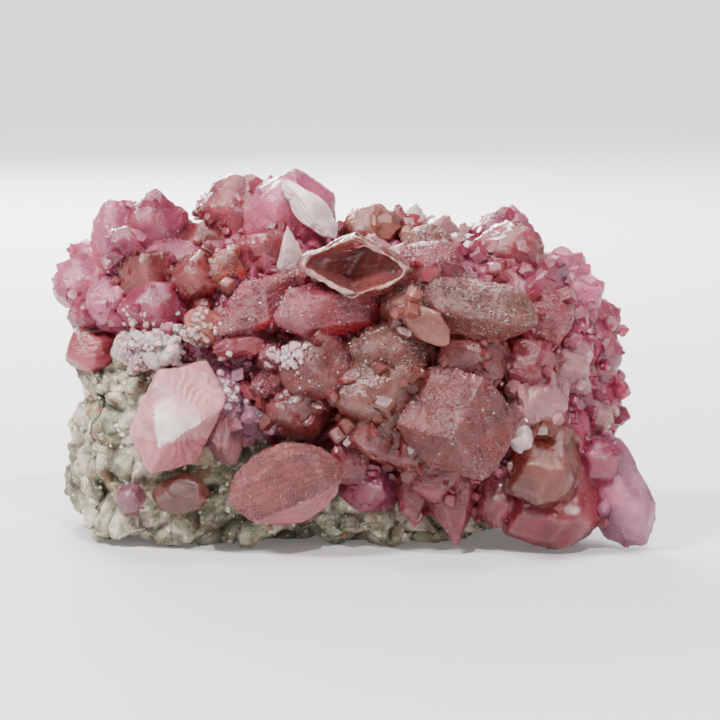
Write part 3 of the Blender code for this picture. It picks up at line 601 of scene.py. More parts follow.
# %% The tints
TINTS = {
    "pink": (0.70, 0.17, 0.29),
    "magenta": (0.46, 0.065, 0.145),
    "rose": (0.40, 0.055, 0.082),
    "dusky": (0.29, 0.042, 0.041),
    "olive": (0.255, 0.062, 0.042),
    "amber": (0.40, 0.13, 0.095),
    "salmon": (0.68, 0.24, 0.19),
    "pale": (0.64, 0.27, 0.30),
    "white": (0.95, 0.80, 0.77),
    "lilac": (0.54, 0.21, 0.32),
}
TINTED = {
    "pink": "far_left left_behind left_bright left_low crest_big crest_side fan_upper fan_side",
    "magenta": "left_front left_edge left_tall fan_back fan_rear fan_level fan_lower fan_foot fan_eye "
               "under_left",
    "dusky": "left_middle left_saddle left_inner centre_left left_of_lens rose_right chin_left chin_middle "
             "spearhead",
    "olive": "olive_bar centre_dark olive_round centre_top",
    "amber": "crest_amber brow tongue crest_front",
    "salmon": "salmon_bud left_step",
    "pale": "fan_pale crest_tip_c scallop crust_side",
    "white": "crest_white white_blade crest_tip_b cleaved crust_left crust_low crust_top crust_middle",
    "lilac": "lilac_blade crust_right druse_lower",
}
TINT_OF = {name: tint for tint, names in TINTED.items() for name in names.split()}
END_TINTS = ["pink", "magenta", "magenta", "pale"]
MIDDLE_TINTS = ["rose", "dusky", "rose", "pale"]
RIGHT_END, LEFT_END = 13.0, -13.0


def tint_of(crystal, middle):
    """A crystal's tint: its own if it is listed, and otherwise one that suits its place."""
    if crystal.name in TINT_OF:
        return TINTS[TINT_OF[crystal.name]]
    if not crystal.name.startswith("fill"):
        return TINTS["rose"]
    choices = END_TINTS if middle.x > RIGHT_END or middle.x < LEFT_END else MIDDLE_TINTS
    return TINTS[random.Random(crystal.name + " tint").choice(choices)]


print("listed:", {tint: len(names.split()) for tint, names in TINTED.items()})

# %% [markdown]
# ## How frosted each crystal is
# Some crystals are clear and some look as if dipped in sugar. One number from 0 to 1 says how much, and the
# finish and the scattered grains both read it, so they always agree. Two separate lists could drift apart.

# %% The frosting of each crystal
FROST = {
    "centre_top": 1.0, "frosted_wall": 1.0, "spearhead": 0.7, "olive_bar": 0.85, "frosted_slant": 0.9,
    "brow": 0.8, "left_step": 0.9, "druse_upper": 1.0, "druse_corner": 1.0, "druse_lower": 0.8,
    "frosted_bud": 0.8, "crest_front": 0.9, "crest_tip_a": 0.8, "rose_bar": 0.55, "centre_dark": 0.35,
    "lens_crystal": 0.55, "centre_left": 0.6, "fan_great": 0.3, "crust_left": 0.9, "crust_top": 0.9,
    "crust_low": 0.9, "crest_white": 0.0, "white_blade": 0.0, "olive_round": 0.1, "round_foot": 0.15,
}
PLAIN_FROST = 0.3
print("heavily frosted:", [name for name, amount in FROST.items() if amount > 0.75])

# %% [markdown]
# ## Joining the crystals
# Crystals that grew together have no gap or skin between them, so the separate bodies are joined into one
# closed mesh with a Boolean union. Blender's manifold solver does that for well over a hundred bodies in
# seconds. Before the join, every point's tint, frosting, edge and place along its crystal are kept in a
# list, so that the joined surface can look them up again.

# %% Every crystal as a mesh, with what its surface knows
workshop = bpy.data.collections.new("workshop")
bpy.context.scene.collection.children.link(workshop)
known_places, known_facts = [], []


def mesh_object(name, points, faces, collection=None):
    """An object from points in millimetres."""
    mesh = bpy.data.meshes.new(name)
    mesh.from_pydata((points * MM).tolist(), [], faces.tolist())
    mesh.update()
    made = bpy.data.objects.new(name, mesh)
    (collection or bpy.context.scene.collection).objects.link(made)
    return made


def grow_crystal(crystal, middle, level, tint, frost, collection):
    """The soft crystal in its place. Its points' facts go on the list."""
    points, edge, along = soft_crystal(crystal, level)
    turn = np.array(crystal_turn(crystal.points, crystal.roll))
    placed = points @ turn.T + np.array(middle)
    known_places.append(placed)
    shown = np.tile(np.array(tint), (len(placed), 1))
    known_facts.append(np.column_stack((shown, np.full(len(placed), frost), edge, along)))
    return mesh_object("grown_" + crystal.name, placed, ball(level)[1], collection)


FINEST = {"spearhead"}
SLIM = 3.9


def level_of(crystal):
    """How finely a crystal is made: more for the one in front, less for slim ones."""
    if crystal.name in FINEST:
        return FINE
    return COARSE if min(crystal.size[1:]) < SLIM else MIDDLING


for crystal in NAMED:
    middle = middle_of(crystal)
    frost = FROST.get(crystal.name, PLAIN_FROST)
    grow_crystal(crystal, middle, level_of(crystal), tint_of(crystal, middle), frost, workshop)
for crystal, middle in SMALL:
    grow_crystal(crystal, middle, COARSE, tint_of(crystal, middle), PLAIN_FROST, workshop)

# %% The lobes
LOBE_SWELL, LOBE_SWELL_LENGTH = 0.03, 3.0
LOBE_FROST, LOBE_ALONG = 0.5, 0.5
lobe_numbers = []


def lobe(middle, half, name):
    """A square-shouldered lobe of massive calcite."""
    directions, faces = ball(MIDDLING)
    total = (np.abs(directions) ** LOBE_SQUARENESS).sum(axis=1) ** (1 / LOBE_SQUARENESS)
    points = directions / total[:, None] * (np.array(half) - LOBE_SUNK)
    swell = LOBE_SWELL * waves(points, LOBE_SWELL_LENGTH, seed_of(name))
    points = points * (1 + swell)[:, None] + np.array(middle)
    known_places.append(points)
    facts = np.tile(np.array((*TINTS["magenta"], LOBE_FROST, 0.0, LOBE_ALONG)), (len(points), 1))
    lobe_numbers.append(len(known_places) - 1)
    known_facts.append(facts)
    return mesh_object(name, points, faces, workshop)


for number, (middle, half) in enumerate(LOBES[1:] + ROOT_FILLINGS):
    lobe(middle, half, f"lobe_{number}")
cluster_body = lobe(*LOBES[0], "lobe_main")
workshop.objects.unlink(cluster_body)
bpy.context.scene.collection.objects.link(cluster_body)
print("lobes and fillings:", len(lobe_numbers))

# %% [markdown]
# ## The eye-shaped hollow
# A crystal broke out of the front and left its print: a hollow with a thin, pale, broken rim. Its wall is a
# crystal of its own, cut off flat where the break ran, with a rim made uneven by noise. Cutting the
# hollow straight into the cluster would leave no rim that stands out.

# %% The wall of the hollow
SOCKET_FACES = (-0.06, -0.96, 0.14)
SOCKET_POINTS = (0.98, -0.06, -0.09)
SOCKET_WALL = (10.2, 6.2, 9.0)
SOCKET_HOLLOW = (8.8, 5.0, 7.6)
SOCKET_WALL_SUNK = 1.2
WALL_FROST = 0.1
RIM_BREAK, RIM_BREAK_LENGTH = 0.9, 1.6
ON_THE_BREAK = 0.01
socket_middle = from_front(*SOCKET_AT)
socket_way = Vector(SOCKET_FACES).normalized()
wall = Crystal("socket_wall", "spear", None, SOCKET_POINTS, SOCKET_WALL, 0)
wall_number = len(known_places)
wall_middle = socket_middle - socket_way * SOCKET_WALL_SUNK
wall_body = grow_crystal(wall, wall_middle, FINE, TINTS["white"], WALL_FROST, workshop)
trim = bmesh.new()
trim.from_mesh(wall_body.data)
bmesh.ops.bisect_plane(trim, geom=trim.verts[:] + trim.edges[:] + trim.faces[:], dist=1e-8,
                       plane_co=socket_middle * MM, plane_no=socket_way, clear_outer=True)
bmesh.ops.holes_fill(trim, edges=[edge for edge in trim.edges if edge.is_boundary], sides=0)
for vert in trim.verts:
    proud = (vert.co / MM - socket_middle).dot(socket_way)
    if abs(proud) < ON_THE_BREAK:
        vert.co += socket_way * MM * RIM_BREAK * noise.noise(vert.co / (RIM_BREAK_LENGTH * MM))
bmesh.ops.triangulate(trim, faces=[face for face in trim.faces if len(face.verts) > 4])
trim.to_mesh(wall_body.data)
trim.free()
print("wall of the hollow:", len(wall_body.data.polygons), "faces")

# %% The union and the hollow
def boolean(target, operation, other):
    """Joins or cuts the target's mesh for good, with an object or a collection."""
    step = target.modifiers.new(operation, "BOOLEAN")
    step.operation = operation
    step.solver = "MANIFOLD"
    if isinstance(other, bpy.types.Collection):
        step.operand_type = "COLLECTION"
        step.collection = other
    else:
        step.object = other
    bpy.context.view_layer.update()
    evaluated = target.evaluated_get(bpy.context.evaluated_depsgraph_get())
    result = bpy.data.meshes.new_from_object(evaluated)
    target.modifiers.clear()
    target.data = result


boolean(cluster_body, "UNION", workshop)
hollow = Crystal("socket_hollow", "spear", None, SOCKET_POINTS, SOCKET_HOLLOW, 0)
cutters = bpy.data.collections.new("cutters")
bpy.context.scene.collection.children.link(cutters)
hollow_body = grow_crystal(hollow, socket_middle, MIDDLING, TINTS["amber"], 0.0, cutters)
boolean(cluster_body, "DIFFERENCE", hollow_body)
print("joined crystals:", len(cluster_body.data.polygons), "faces")

# %% [markdown]
# ## The hidden core of the cluster
# The cluster's roots run into the rock, where nobody sees them. The rock's shape, a little smaller than
# the real surface, is cut out of the cluster, which leaves a closed body that sits on the rock and
# saves the triangles for the part that shows.

# %% The rock's surface, at any fineness
ROCK_BLOCK = 60.0
ROCK_LUMPS = ((8.0, 1.5), (3.2, 1.1), (2.3, 0.7))
ROCK_SINK = 2.0
CORE_GRAIN, CORE_GROW = 1.6, -1.2
ROCK_PITS = [
    ((-11.6, -7.4, 4.6), 2.6, 2.4),
    ((-22.5, -6.8, 13.0), 2.4, 1.4),
    ((-4.0, -7.0, 2.4), 3.0, 1.6),
    ((-14.0, 14.6, 10.0), 4.0, 1.8),
    ((3.0, 14.4, 6.0), 5.0, 2.2),
]


def cut_away(bm, point, normal):
    """Cuts off what lies beyond a plane and closes the cut."""
    bmesh.ops.bisect_plane(bm, geom=bm.verts[:] + bm.edges[:] + bm.faces[:], dist=1e-7,
                           plane_co=point, plane_no=normal, clear_outer=True)
    open_edges = [edge for edge in bm.edges if edge.is_boundary]
    if open_edges:
        bmesh.ops.holes_fill(bm, edges=open_edges, sides=0)


def rock_points(grain, grow, detail):
    """A bmesh of the rock: a block broken along its fractures, then roughened, with a flat underside."""
    bm = bmesh.new()
    bmesh.ops.create_cube(bm, size=ROCK_BLOCK * MM)
    for point, normal in ROCK_BREAKS:
        cut_away(bm, Vector(point) * MM, Vector(normal).normalized())
    cut_away(bm, Vector((0, 0, -ROCK_SINK * MM)), Vector((0, 0, -1)))
    block_mesh = bpy.data.meshes.new("block")
    bm.to_mesh(block_mesh)
    bm.free()
    block = bpy.data.objects.new("block", block_mesh)
    bpy.context.scene.collection.objects.link(block)
    remesh = block.modifiers.new("grain", "REMESH")
    remesh.mode = "VOXEL"
    remesh.voxel_size = grain * MM
    bpy.context.view_layer.update()
    evaluated = block.evaluated_get(bpy.context.evaluated_depsgraph_get())
    rough = bmesh.new()
    rough.from_mesh(evaluated.to_mesh())
    evaluated.to_mesh_clear()
    bpy.data.objects.remove(block)
    rough.normal_update()
    moves = []
    for vert in rough.verts:
        push = grow
        for size, height in ROCK_LUMPS:
            push += height * noise.noise(vert.co / (size * MM))
        for middle, width, depth in ROCK_PITS:
            away = (vert.co / MM - Vector(middle)).length / width
            push -= depth * math.exp(-away * away)
        moves.append(vert.normal * (push + detail(vert.co / MM)) * MM)
    for vert, move in zip(rough.verts, moves):
        vert.co += move
    cut_away(rough, Vector((0, 0, 0)), Vector((0, 0, -1)))
    return rough


core_mesh = bpy.data.meshes.new("core")
core = rock_points(CORE_GRAIN, CORE_GROW, lambda point: 0.0)
core.to_mesh(core_mesh)
core.free()
core_body = bpy.data.objects.new("core", core_mesh)
cutters.objects.link(core_body)
boolean(cluster_body, "DIFFERENCE", core_body)
print("faces of the cluster without its hidden core:", len(cluster_body.data.polygons))

# %% [markdown]
# ## Giving the joined surface its facts back
# A Boolean keeps positions but not what they meant. Each point of the joined surface takes the facts of
# the nearest point that was on the list before the join. A k-d tree finds that point quickly.

# %% Looking up the facts
def known_tree():
    """A k-d tree of every listed point and the facts in the same order."""
    places = np.concatenate(known_places)
    tree = kdtree.KDTree(len(places))
    for number, place in enumerate(places):
        tree.insert(place, number)
    tree.balance()
    return tree, np.concatenate(known_facts)


def mesh_points(mesh):
    """A mesh's points in millimetres."""
    flat = np.empty(len(mesh.vertices) * 3)
    mesh.vertices.foreach_get("co", flat)
    return flat.reshape(-1, 3) / MM


def keep_facts(mesh, facts):
    """Stores tint, frost, edge and along on the mesh's points for its material."""
    tint = mesh.attributes.new("tint", "FLOAT_COLOR", "POINT")
    tint.data.foreach_set("color", np.column_stack((facts[:, :3], np.ones(len(facts)))).ravel())
    for column, name in enumerate(("frost", "edge", "along"), start=3):
        mesh.attributes.new(name, "FLOAT", "POINT").data.foreach_set("value", facts[:, column].copy())


lookup, facts = known_tree()
owner = np.concatenate([np.full(len(places), number) for number, places in enumerate(known_places)])
surface = mesh_points(cluster_body.data)
nearest = np.array([lookup.find(place)[1] for place in surface])
surface_facts = facts[nearest].copy()
print("points looked up:", len(nearest))

# %% [markdown]
# ## The colours of the hollow
# The inside of the hollow is dark amber and its broken rim catches the light. Both are told apart by where a
# point came from and by how far it is from the break. A picture painted on would need the crystals laid
# out flat first.

# %% The bright rim of the hollow
RIM_WIDTH = 0.26
RIM_REACH = 5.6
RIM_TINT = (0.80, 0.50, 0.43)
HOLLOW_TINT = (0.32, 0.095, 0.085)
from_rim = (surface - np.array(socket_middle)) @ np.array(socket_way)
from_middle = np.linalg.norm(surface - np.array(socket_middle), axis=1)
of_hollow = owner[nearest] >= wall_number
on_rim = (np.abs(from_rim) < RIM_WIDTH) & (from_middle < RIM_REACH) & of_hollow
surface_facts[of_hollow, :3] = HOLLOW_TINT
surface_facts[on_rim, :3] = RIM_TINT
keep_facts(cluster_body.data, surface_facts)
cluster_body.name = "calcite_cluster"
cluster_body.data.shade_smooth()
print("points:", len(surface), "on the rim:", int(on_rim.sum()))

# %% [markdown]
# ## The crystals that stand alone
# Five crystals grew on the bare rock by themselves. They are made like the others. The pale one lost its
# tip along a cleavage plane, which left a flat white face with three corners, so the finished crystal is cut
# by that plane and the part of the cut between the three corners is coloured white. The marks below are
# lines on the view from the front. They colour a crystal by where its points lie, so the colour
# goes right round it and needs no picture.

# %% Where a crystal changes colour, as marked on the view from the front
CLEAVAGE_CORNERS = ((-19.0, -3.7), (-12.8, -5.9), (-17.7, -8.2))
LENS_BEVEL = ((-9.0, -14.9), (-0.7, -10.7))
LENS_BEVEL_TINT = (0.52, 0.15, 0.18)
ROUNDED_RIM = 0.9
PALE_FOOT, PALE_FOOT_TINT = 10.6, (0.52, 0.16, 0.19)
CUT_REACH = 0.05
SPLIT_FROST, BEVEL_FROST = 0.9, 0.05
MARK_DEPTH = -11.0


def beyond_line(places, first, last, depth=MARK_DEPTH):
    """How far places lie below a line, in millimetres, as seen from the front. Marks are (across, up)."""
    start, end = (np.array(from_front(*mark, depth))[[0, 2]] for mark in (first, last))
    way = (end - start) / np.linalg.norm(end - start)
    return (places[:, [0, 2]] - start) @ np.array((way[1], -way[0]))


def inside_corners(places, marks, depth):
    """Which places lie inside the corners, which go round clockwise."""
    sides = zip(marks, marks[1:] + marks[:1])
    return np.all([beyond_line(places, first, last, depth) > 0 for first, last in sides], axis=0)


print("corners of the cleavage face:", len(CLEAVAGE_CORNERS))

# %% The cut of the pale crystal
def cleaved(body):
    """Cuts the pale crystal along its cleavage plane, and gives the facts of the points that are left."""
    point, normal = from_front(*PALE_CLEAVAGE[0]), Vector(PALE_CLEAVAGE[1]).normalized()
    cut = bmesh.new()
    cut.from_mesh(body.data)
    cut_away(cut, point * MM, normal)
    bmesh.ops.triangulate(cut, faces=[face for face in cut.faces if len(face.verts) > 4])
    cut.to_mesh(body.data)
    cut.free()
    places = mesh_points(body.data)
    uncut, known = known_tree()
    kept = known[np.array([uncut.find(place)[1] for place in places])].copy()
    on_cut = (places - np.array(point)) @ np.array(normal) > -CUT_REACH
    split = on_cut & inside_corners(places, CLEAVAGE_CORNERS, PALE_CLEAVAGE[0][2])
    kept[split, :3] = TINTS["white"]
    kept[split, 3] = SPLIT_FROST
    kept[(places[:, 2] < PALE_FOOT) & ~split, :3] = PALE_FOOT_TINT
    return kept


print("the pale crystal's cut faces:", PALE_CLEAVAGE[1])

# %% The five single crystals
SINGLE_TINTS = {
    "lens_crystal": "dusky", "pale_crystal": "pale", "lilac_crystal": "lilac",
    "glassy_crystal": "amber", "rounded_crystal": "rose",
}
singles = {}
for crystal in SINGLES:
    known_places.clear()
    known_facts.clear()
    tint, frost = TINTS[SINGLE_TINTS[crystal.name]], FROST.get(crystal.name, PLAIN_FROST)
    level = FINE if crystal in (LENS, PALE) else MIDDLING
    body = grow_crystal(crystal, middle_of(crystal), level, tint, frost, None)
    own_facts = np.concatenate(known_facts)
    places = mesh_points(body.data)
    if crystal is PALE:
        own_facts = cleaved(body)
    if crystal is LENS:
        bevel = beyond_line(places, *LENS_BEVEL) > 0
        own_facts[bevel, :3] = LENS_BEVEL_TINT
        own_facts[bevel, 3] = BEVEL_FROST
    if crystal is ROUNDED:
        own_facts[places[:, 2] > places[:, 2].max() - ROUNDED_RIM, :3] = TINTS["white"]
    keep_facts(body.data, own_facts)
    body.name = crystal.name.replace("_crystal", "_calcite")
    body.data.shade_smooth()
    singles[crystal.name] = body
    print(body.name, len(body.data.polygons), "faces")

# %% [markdown]
# ## The rock
# The matrix is a broken piece of carbonate rock: lumpy, pitted and full of small grains. The same block
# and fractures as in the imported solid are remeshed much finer. Over its large swells come flat-topped lumps
# with narrow clefts between them, knobs of two sizes, and grit from plain noise, since real broken
# rock has detail at every size. Sculpting by hand would look as good but could not be read or repeated.

# %% The forms on the rock's surface
ROCK_GRAIN = 0.34
CLEFT = 0.24
LUMP, LUMP_SIZE, LUMP_LEVEL = 0.85, 3.1, 0.85
KNOB, KNOB_SIZE, KNOB_LEVEL = 0.55, 1.7, 0.7
SMALL_KNOB, SMALL_KNOB_SIZE, SMALL_KNOB_LEVEL = 0.30, 0.8, 0.6
GRIT, GRIT_SIZE = 0.14, 0.5
TWIST_SIZE, TWIST_APART = 3, Vector((9, 2, 4))


def twist(point):
    """A sideways shift that keeps lumps and knobs from looking like rows of cells."""
    place = point / TWIST_SIZE
    return Vector((noise.noise(place), noise.noise(place + TWIST_APART), 0))


def lumps(point):
    """Flat-topped lumps with narrow clefts between them: 0 in a cleft and 1 on a lump."""
    near, further = noise.voronoi((point + 2 * twist(point)) / LUMP_SIZE)[0][:2]
    return min(1.0, (further - near) / CLEFT)


def knobs(point, size):
    """Round knobs with sharp clefts between them, from 0 in a cleft to 1 on a knob."""
    nearest = noise.voronoi(point / size)[0][0]
    return max(0.0, 1 - nearest * nearest)


def rock_detail(point):
    """How far the lumps, knobs and grit stand out or in at a point, in millimetres."""
    large = knobs(point + twist(point), KNOB_SIZE)
    small = knobs(point - twist(point), SMALL_KNOB_SIZE)
    relief = LUMP * (lumps(point) - LUMP_LEVEL) + KNOB * (large - KNOB_LEVEL)
    return relief + SMALL_KNOB * (small - SMALL_KNOB_LEVEL) + GRIT * noise.noise(point / GRIT_SIZE)


print("lumps, knobs and small knobs in mm:", (LUMP_SIZE, KNOB_SIZE, SMALL_KNOB_SIZE))

# %% The fine rock, which knows where its clefts are
PAINTED_PIT_SHADE, PAINTED_PIT_SHADE_REACH = from_front(-11.7, -11.9, -8.5), 1.9
rock = rock_points(ROCK_GRAIN, 0.0, rock_detail)
rock_mesh = bpy.data.meshes.new("matrix_surface")
bmesh.ops.triangulate(rock, faces=[face for face in rock.faces if len(face.verts) > 4])
rock.to_mesh(rock_mesh)
rock.free()
rock_mesh.shade_smooth()
# Painted shade: the cleft fact is high in the clefts between lumps and in one cavity, and darkens the rock's
# finish.
clefts = []
for place in mesh_points(rock_mesh):
    pit_shade = math.exp(-((Vector(place) - PAINTED_PIT_SHADE).length / PAINTED_PIT_SHADE_REACH) ** 4)
    clefts.append(max(1 - lumps(Vector(place)), pit_shade))
rock_mesh.attributes.new("cleft", "FLOAT", "POINT").data.foreach_set("value", clefts)
rock_body = bpy.data.objects.new("matrix_surface", rock_mesh)
bpy.context.scene.collection.objects.link(rock_body)
print("rock:", len(rock_mesh.polygons), "faces")

# %% [markdown]
# ## Sugary frosting
# Many of the crystals carry a frosting of grains about a tenth of a millimetre across, which sparkle. Each is
# a little calcite rhomb that stands on the face it grew on. A bump map would give the texture but not
# the glints at the edges, so the grains are real meshes, scattered where the frosting is heavy and
# mostly on the sides that faced up and out while they grew.

# %% A rhomb
RHOMB_CORNERS = 8
RHOMB_SQUAT = 0.18


def rhomb():
    """A small calcite rhomb: a cube pressed along its diagonal, standing on a corner."""
    corners = np.array(list(itertools.product((-0.5, 0.5), repeat=3)))
    diagonal = np.ones(3) / math.sqrt(3)
    corners = corners - RHOMB_SQUAT * np.outer(corners @ diagonal, diagonal)
    turn = np.array(Vector(diagonal).rotation_difference(Vector((0, 0, 1))).to_matrix())
    faces = np.array([[0, 1, 3], [0, 3, 2], [4, 6, 7], [4, 7, 5], [0, 4, 5], [0, 5, 1],
                      [2, 3, 7], [2, 7, 6], [0, 2, 6], [0, 6, 4], [1, 5, 7], [1, 7, 3]])
    return corners @ turn.T, faces


print("a rhomb has", len(rhomb()[1]), "triangles")

# %% How grains are set on a surface
GRAIN_UNEVEN = (0.85, 1.2)


def triangles_of(mesh):
    """Corner numbers, middles, areas and normals of a mesh's triangles."""
    mesh.calc_loop_triangles()
    corners = np.empty(len(mesh.loop_triangles) * 3, dtype=np.int64)
    mesh.loop_triangles.foreach_get("vertices", corners)
    corners = corners.reshape(-1, 3)
    points = mesh_points(mesh)[corners]
    crossed = np.cross(points[:, 1] - points[:, 0], points[:, 2] - points[:, 0])
    doubled = np.linalg.norm(crossed, axis=1)
    return corners, points.mean(axis=1), doubled / 2, crossed / np.maximum(doubled, 1e-9)[:, None]


def between(limits, share):
    """The value that lies that share of the way from one limit to the other."""
    return limits[0] + (limits[1] - limits[0]) * share


def paler(tints, share):
    """Tints with a share of the pale tint mixed in."""
    return (1 - share) * tints + share * np.array(TINTS["pale"])


def scatter(name, places, normals, sizes, seed, tilt=0.35):
    """One mesh of grains. Each stands on its surface with its middle on it, and leans a little."""
    chance = np.random.default_rng(seed)
    shape, faces = rhomb()
    count = len(places)
    points = np.empty((count, len(shape), 3))
    for number in range(count):
        towards = Vector(normals[number] + tilt * chance.normal(size=3)).normalized()
        turn = Vector((0, 0, 1)).rotation_difference(towards).to_matrix()
        spin = Matrix.Rotation(chance.uniform(0, math.tau), 3, "Z")
        stretch = chance.uniform(*GRAIN_UNEVEN, 3) * sizes[number]
        points[number] = (shape * stretch) @ np.array(turn @ spin).T + places[number]
    numbered = faces[None] + len(shape) * np.arange(count)[:, None, None]
    return mesh_object(name, points.reshape(-1, 3), numbered.reshape(-1, 3))


print("halfway from 2 to 4:", between((2, 4), 0.5))

# %% Where the frosting is heavy on the joined crystals
FLOOR_CLEAR = 0.8
FROST_POWER = 2.2
FACING, FACING_UP, FACING_FRONT, FACING_LEAST = 0.35, 0.5, -0.45, 0.05
PATCHES, PATCH_SIZE, PATCH_SEED = 0.9, 2.2, 31
corners, middles, areas, ways = triangles_of(cluster_body.data)
frosted = surface_facts[corners, 3].mean(axis=1)
facing = np.clip(FACING + FACING_UP * ways[:, 2] + FACING_FRONT * ways[:, 1], FACING_LEAST, 1)
patches = np.clip(0.5 + PATCHES * waves(middles, PATCH_SIZE, PATCH_SEED), FACING_LEAST, 1)
shown = middles[:, 2] > FLOOR_CLEAR
weight = areas * frosted ** FROST_POWER * facing * patches * shown
print("triangles that may be frosted:", int(shown.sum()))

# %% The grains on the joined crystals
GRAINS = 26000
GRAIN_SIZE, GRAIN_POWER = (0.06, 0.17), 0.45
GRAIN_PALER = 0.10
PAINTED_GLINT_SHARE, PAINTED_GLINT_GROWTH, PAINTED_GLINT_TINT = 0.045, 1.1, (1.0, 0.80, 0.76)
PAINTED_GLINT_FROST_ABOVE = 0.5
chance = np.random.default_rng(41)
picked = chance.choice(len(areas), size=GRAINS, p=weight / weight.sum())
mixed = chance.dirichlet((1, 1, 1), size=GRAINS)
grain_places = (mesh_points(cluster_body.data)[corners[picked]] * mixed[..., None]).sum(axis=1)
grain_sizes = between(GRAIN_SIZE, chance.power(GRAIN_POWER, GRAINS))
grain_facts = np.repeat(surface_facts[corners[picked, 0]], RHOMB_CORNERS, axis=0)
grain_facts[:, :3] = np.clip(paler(grain_facts[:, :3], GRAIN_PALER), 0, 1)
# Painted glints: a few grains on heavily frosted faces get a near-white tint and grow a little.
bright = (chance.random(GRAINS) < PAINTED_GLINT_SHARE) & (frosted[picked] > PAINTED_GLINT_FROST_ABOVE)
grain_sizes[bright] *= PAINTED_GLINT_GROWTH
grain_facts[np.repeat(bright, RHOMB_CORNERS), :3] = PAINTED_GLINT_TINT
grain_facts[:, 3:6] = 0.0, 0.0, 1.0
frostings = []
for half, name in enumerate(("sugar_frosting_1", "sugar_frosting_2")):
    share = slice(half * GRAINS // 2, (half + 1) * GRAINS // 2)
    made = scatter(name, grain_places[share], ways[picked[share]], grain_sizes[share], 43 + half)
    keep_facts(made.data, grain_facts[share.start * RHOMB_CORNERS:share.stop * RHOMB_CORNERS])
    frostings.append(made)
print("grains of frosting:", GRAINS)

# %% [markdown]
# ## Frosting on the lens crystal
# The leaf-shaped crystal low on the front is frosted all over but for one smooth bevel along its lower
# edge. It gets grains of its own, finer ones, and none below the bevel's line. Painting the bevel smooth in
# the finish alone would leave grains standing on it.

# %% Frosting on the lens crystal, all but its smooth bevel
LENS_GRAINS = 4200
LENS_GRAIN_SHARE = 0.66
LENS_PALER = 0.2
LENS_FACING, LENS_FRONT, LENS_UP, LENS_LEAST = 0.3, -0.6, 0.4, 0.02
lens_mesh = singles["lens_crystal"].data
_, lens_middles, lens_areas, lens_ways = triangles_of(lens_mesh)
lens_frost = lens_areas * (beyond_line(lens_middles, *LENS_BEVEL) < 0)
lens_facing = LENS_FACING + LENS_FRONT * lens_ways[:, 1] + LENS_UP * lens_ways[:, 2]
lens_frost *= np.clip(lens_facing, LENS_LEAST, 1)
lens_picked = chance.choice(len(lens_areas), size=LENS_GRAINS, p=lens_frost / lens_frost.sum())
lens_sizes = LENS_GRAIN_SHARE * between(GRAIN_SIZE, chance.power(GRAIN_POWER, LENS_GRAINS))
lens_grains = scatter("lens_frosting", lens_middles[lens_picked], lens_ways[lens_picked], lens_sizes, 45)
lens_tint = paler(np.array(TINTS[SINGLE_TINTS["lens_crystal"]]), LENS_PALER)
lens_facts = np.tile((*lens_tint, 0.0, 0.0, 1.0), (LENS_GRAINS * RHOMB_CORNERS, 1))
# Painted glints: a few lens grains get the same near-white tint.
lens_painted_glints = chance.random(LENS_GRAINS) < PAINTED_GLINT_SHARE
lens_facts[np.repeat(lens_painted_glints, RHOMB_CORNERS), :3] = PAINTED_GLINT_TINT
keep_facts(lens_grains.data, lens_facts)
print("grains on the lens:", LENS_GRAINS)

# %% [markdown]
# ## Tiny crystals
# Tiny crystals grow in crowds between and on the large ones. They are made from six sharp shapes, since
# rounding such small ones would not be seen, and each crowd is one mesh. Instances would be lighter, but the
# facts that tint them are stored on the points of a real mesh.

# %% A few sharp shapes for tiny crystals
def sharp_crystal(habit, name):
    """A sharp crystal one unit long: the hull of the points where three faces meet."""
    normals, reaches = crystal_faces(habit, name)
    triples = np.array(list(itertools.combinations(range(len(reaches)), 3)))
    meeting = normals[triples]
    solid = np.abs(np.linalg.det(meeting)) > 1e-3
    points = np.linalg.solve(meeting[solid], reaches[triples[solid]][..., None])[..., 0]
    corners = points[(points @ normals.T <= reaches + 1e-5).all(axis=1)]
    bm = bmesh.new()
    for corner in corners / np.ptp(corners[:, 2]):
        bm.verts.new(corner)
    bmesh.ops.remove_doubles(bm, verts=bm.verts, dist=1e-3)
    hull = bmesh.ops.convex_hull(bm, input=bm.verts)
    bmesh.ops.delete(bm, geom=list(set(hull["geom_interior"] + hull["geom_unused"])), context="VERTS")
    bmesh.ops.triangulate(bm, faces=bm.faces)
    shape = np.array([vert.co for vert in bm.verts])
    faces = np.array([[vert.index for vert in face.verts] for face in bm.faces])
    bm.free()
    return shape, faces


TINY_HABITS = ["stub", "petal", "spear", "lens", "petal", "wedge"]
TINY_SHAPES = [sharp_crystal(habit, f"tiny_{k}") for k, habit in enumerate(TINY_HABITS)]
print("triangles of the tiny shapes:", [len(faces) for shape, faces in TINY_SHAPES])

# %% Setting tiny crystals on a surface
def set_tiny(name, places, normals, lengths, tints, seed, lean=0.45, sunk=0.25, slim=1.0):
    """One mesh of tiny crystals that stand on a surface, each sunk in it a little."""
    chance = np.random.default_rng(seed)
    points, faces, colours, count = [], [], [], 0
    for place, normal, length, tint in zip(places, normals, lengths, tints):
        shape, shape_faces = TINY_SHAPES[chance.integers(len(TINY_SHAPES))]
        towards = Vector(normal + lean * chance.normal(size=3)).normalized()
        turn = np.array(crystal_turn(towards, math.degrees(chance.uniform(0, math.tau))))
        stretch = length * np.array((slim * chance.uniform(0.9, 1.5), slim * chance.uniform(0.8, 1.2), 1.0))
        points.append((shape * stretch) @ turn.T + place + np.array(towards) * length * (0.5 - sunk))
        faces.append(shape_faces + count)
        colours.append(np.tile(tint * chance.uniform(0.8, 1.15), (len(shape), 1)))
        count += len(shape)
    made = mesh_object(name, np.concatenate(points), np.concatenate(faces))
    facts = np.column_stack((np.concatenate(colours), np.tile((0.3, 0.0, 1.0), (count, 1))))
    keep_facts(made.data, np.clip(facts, 0, 1))
    return made


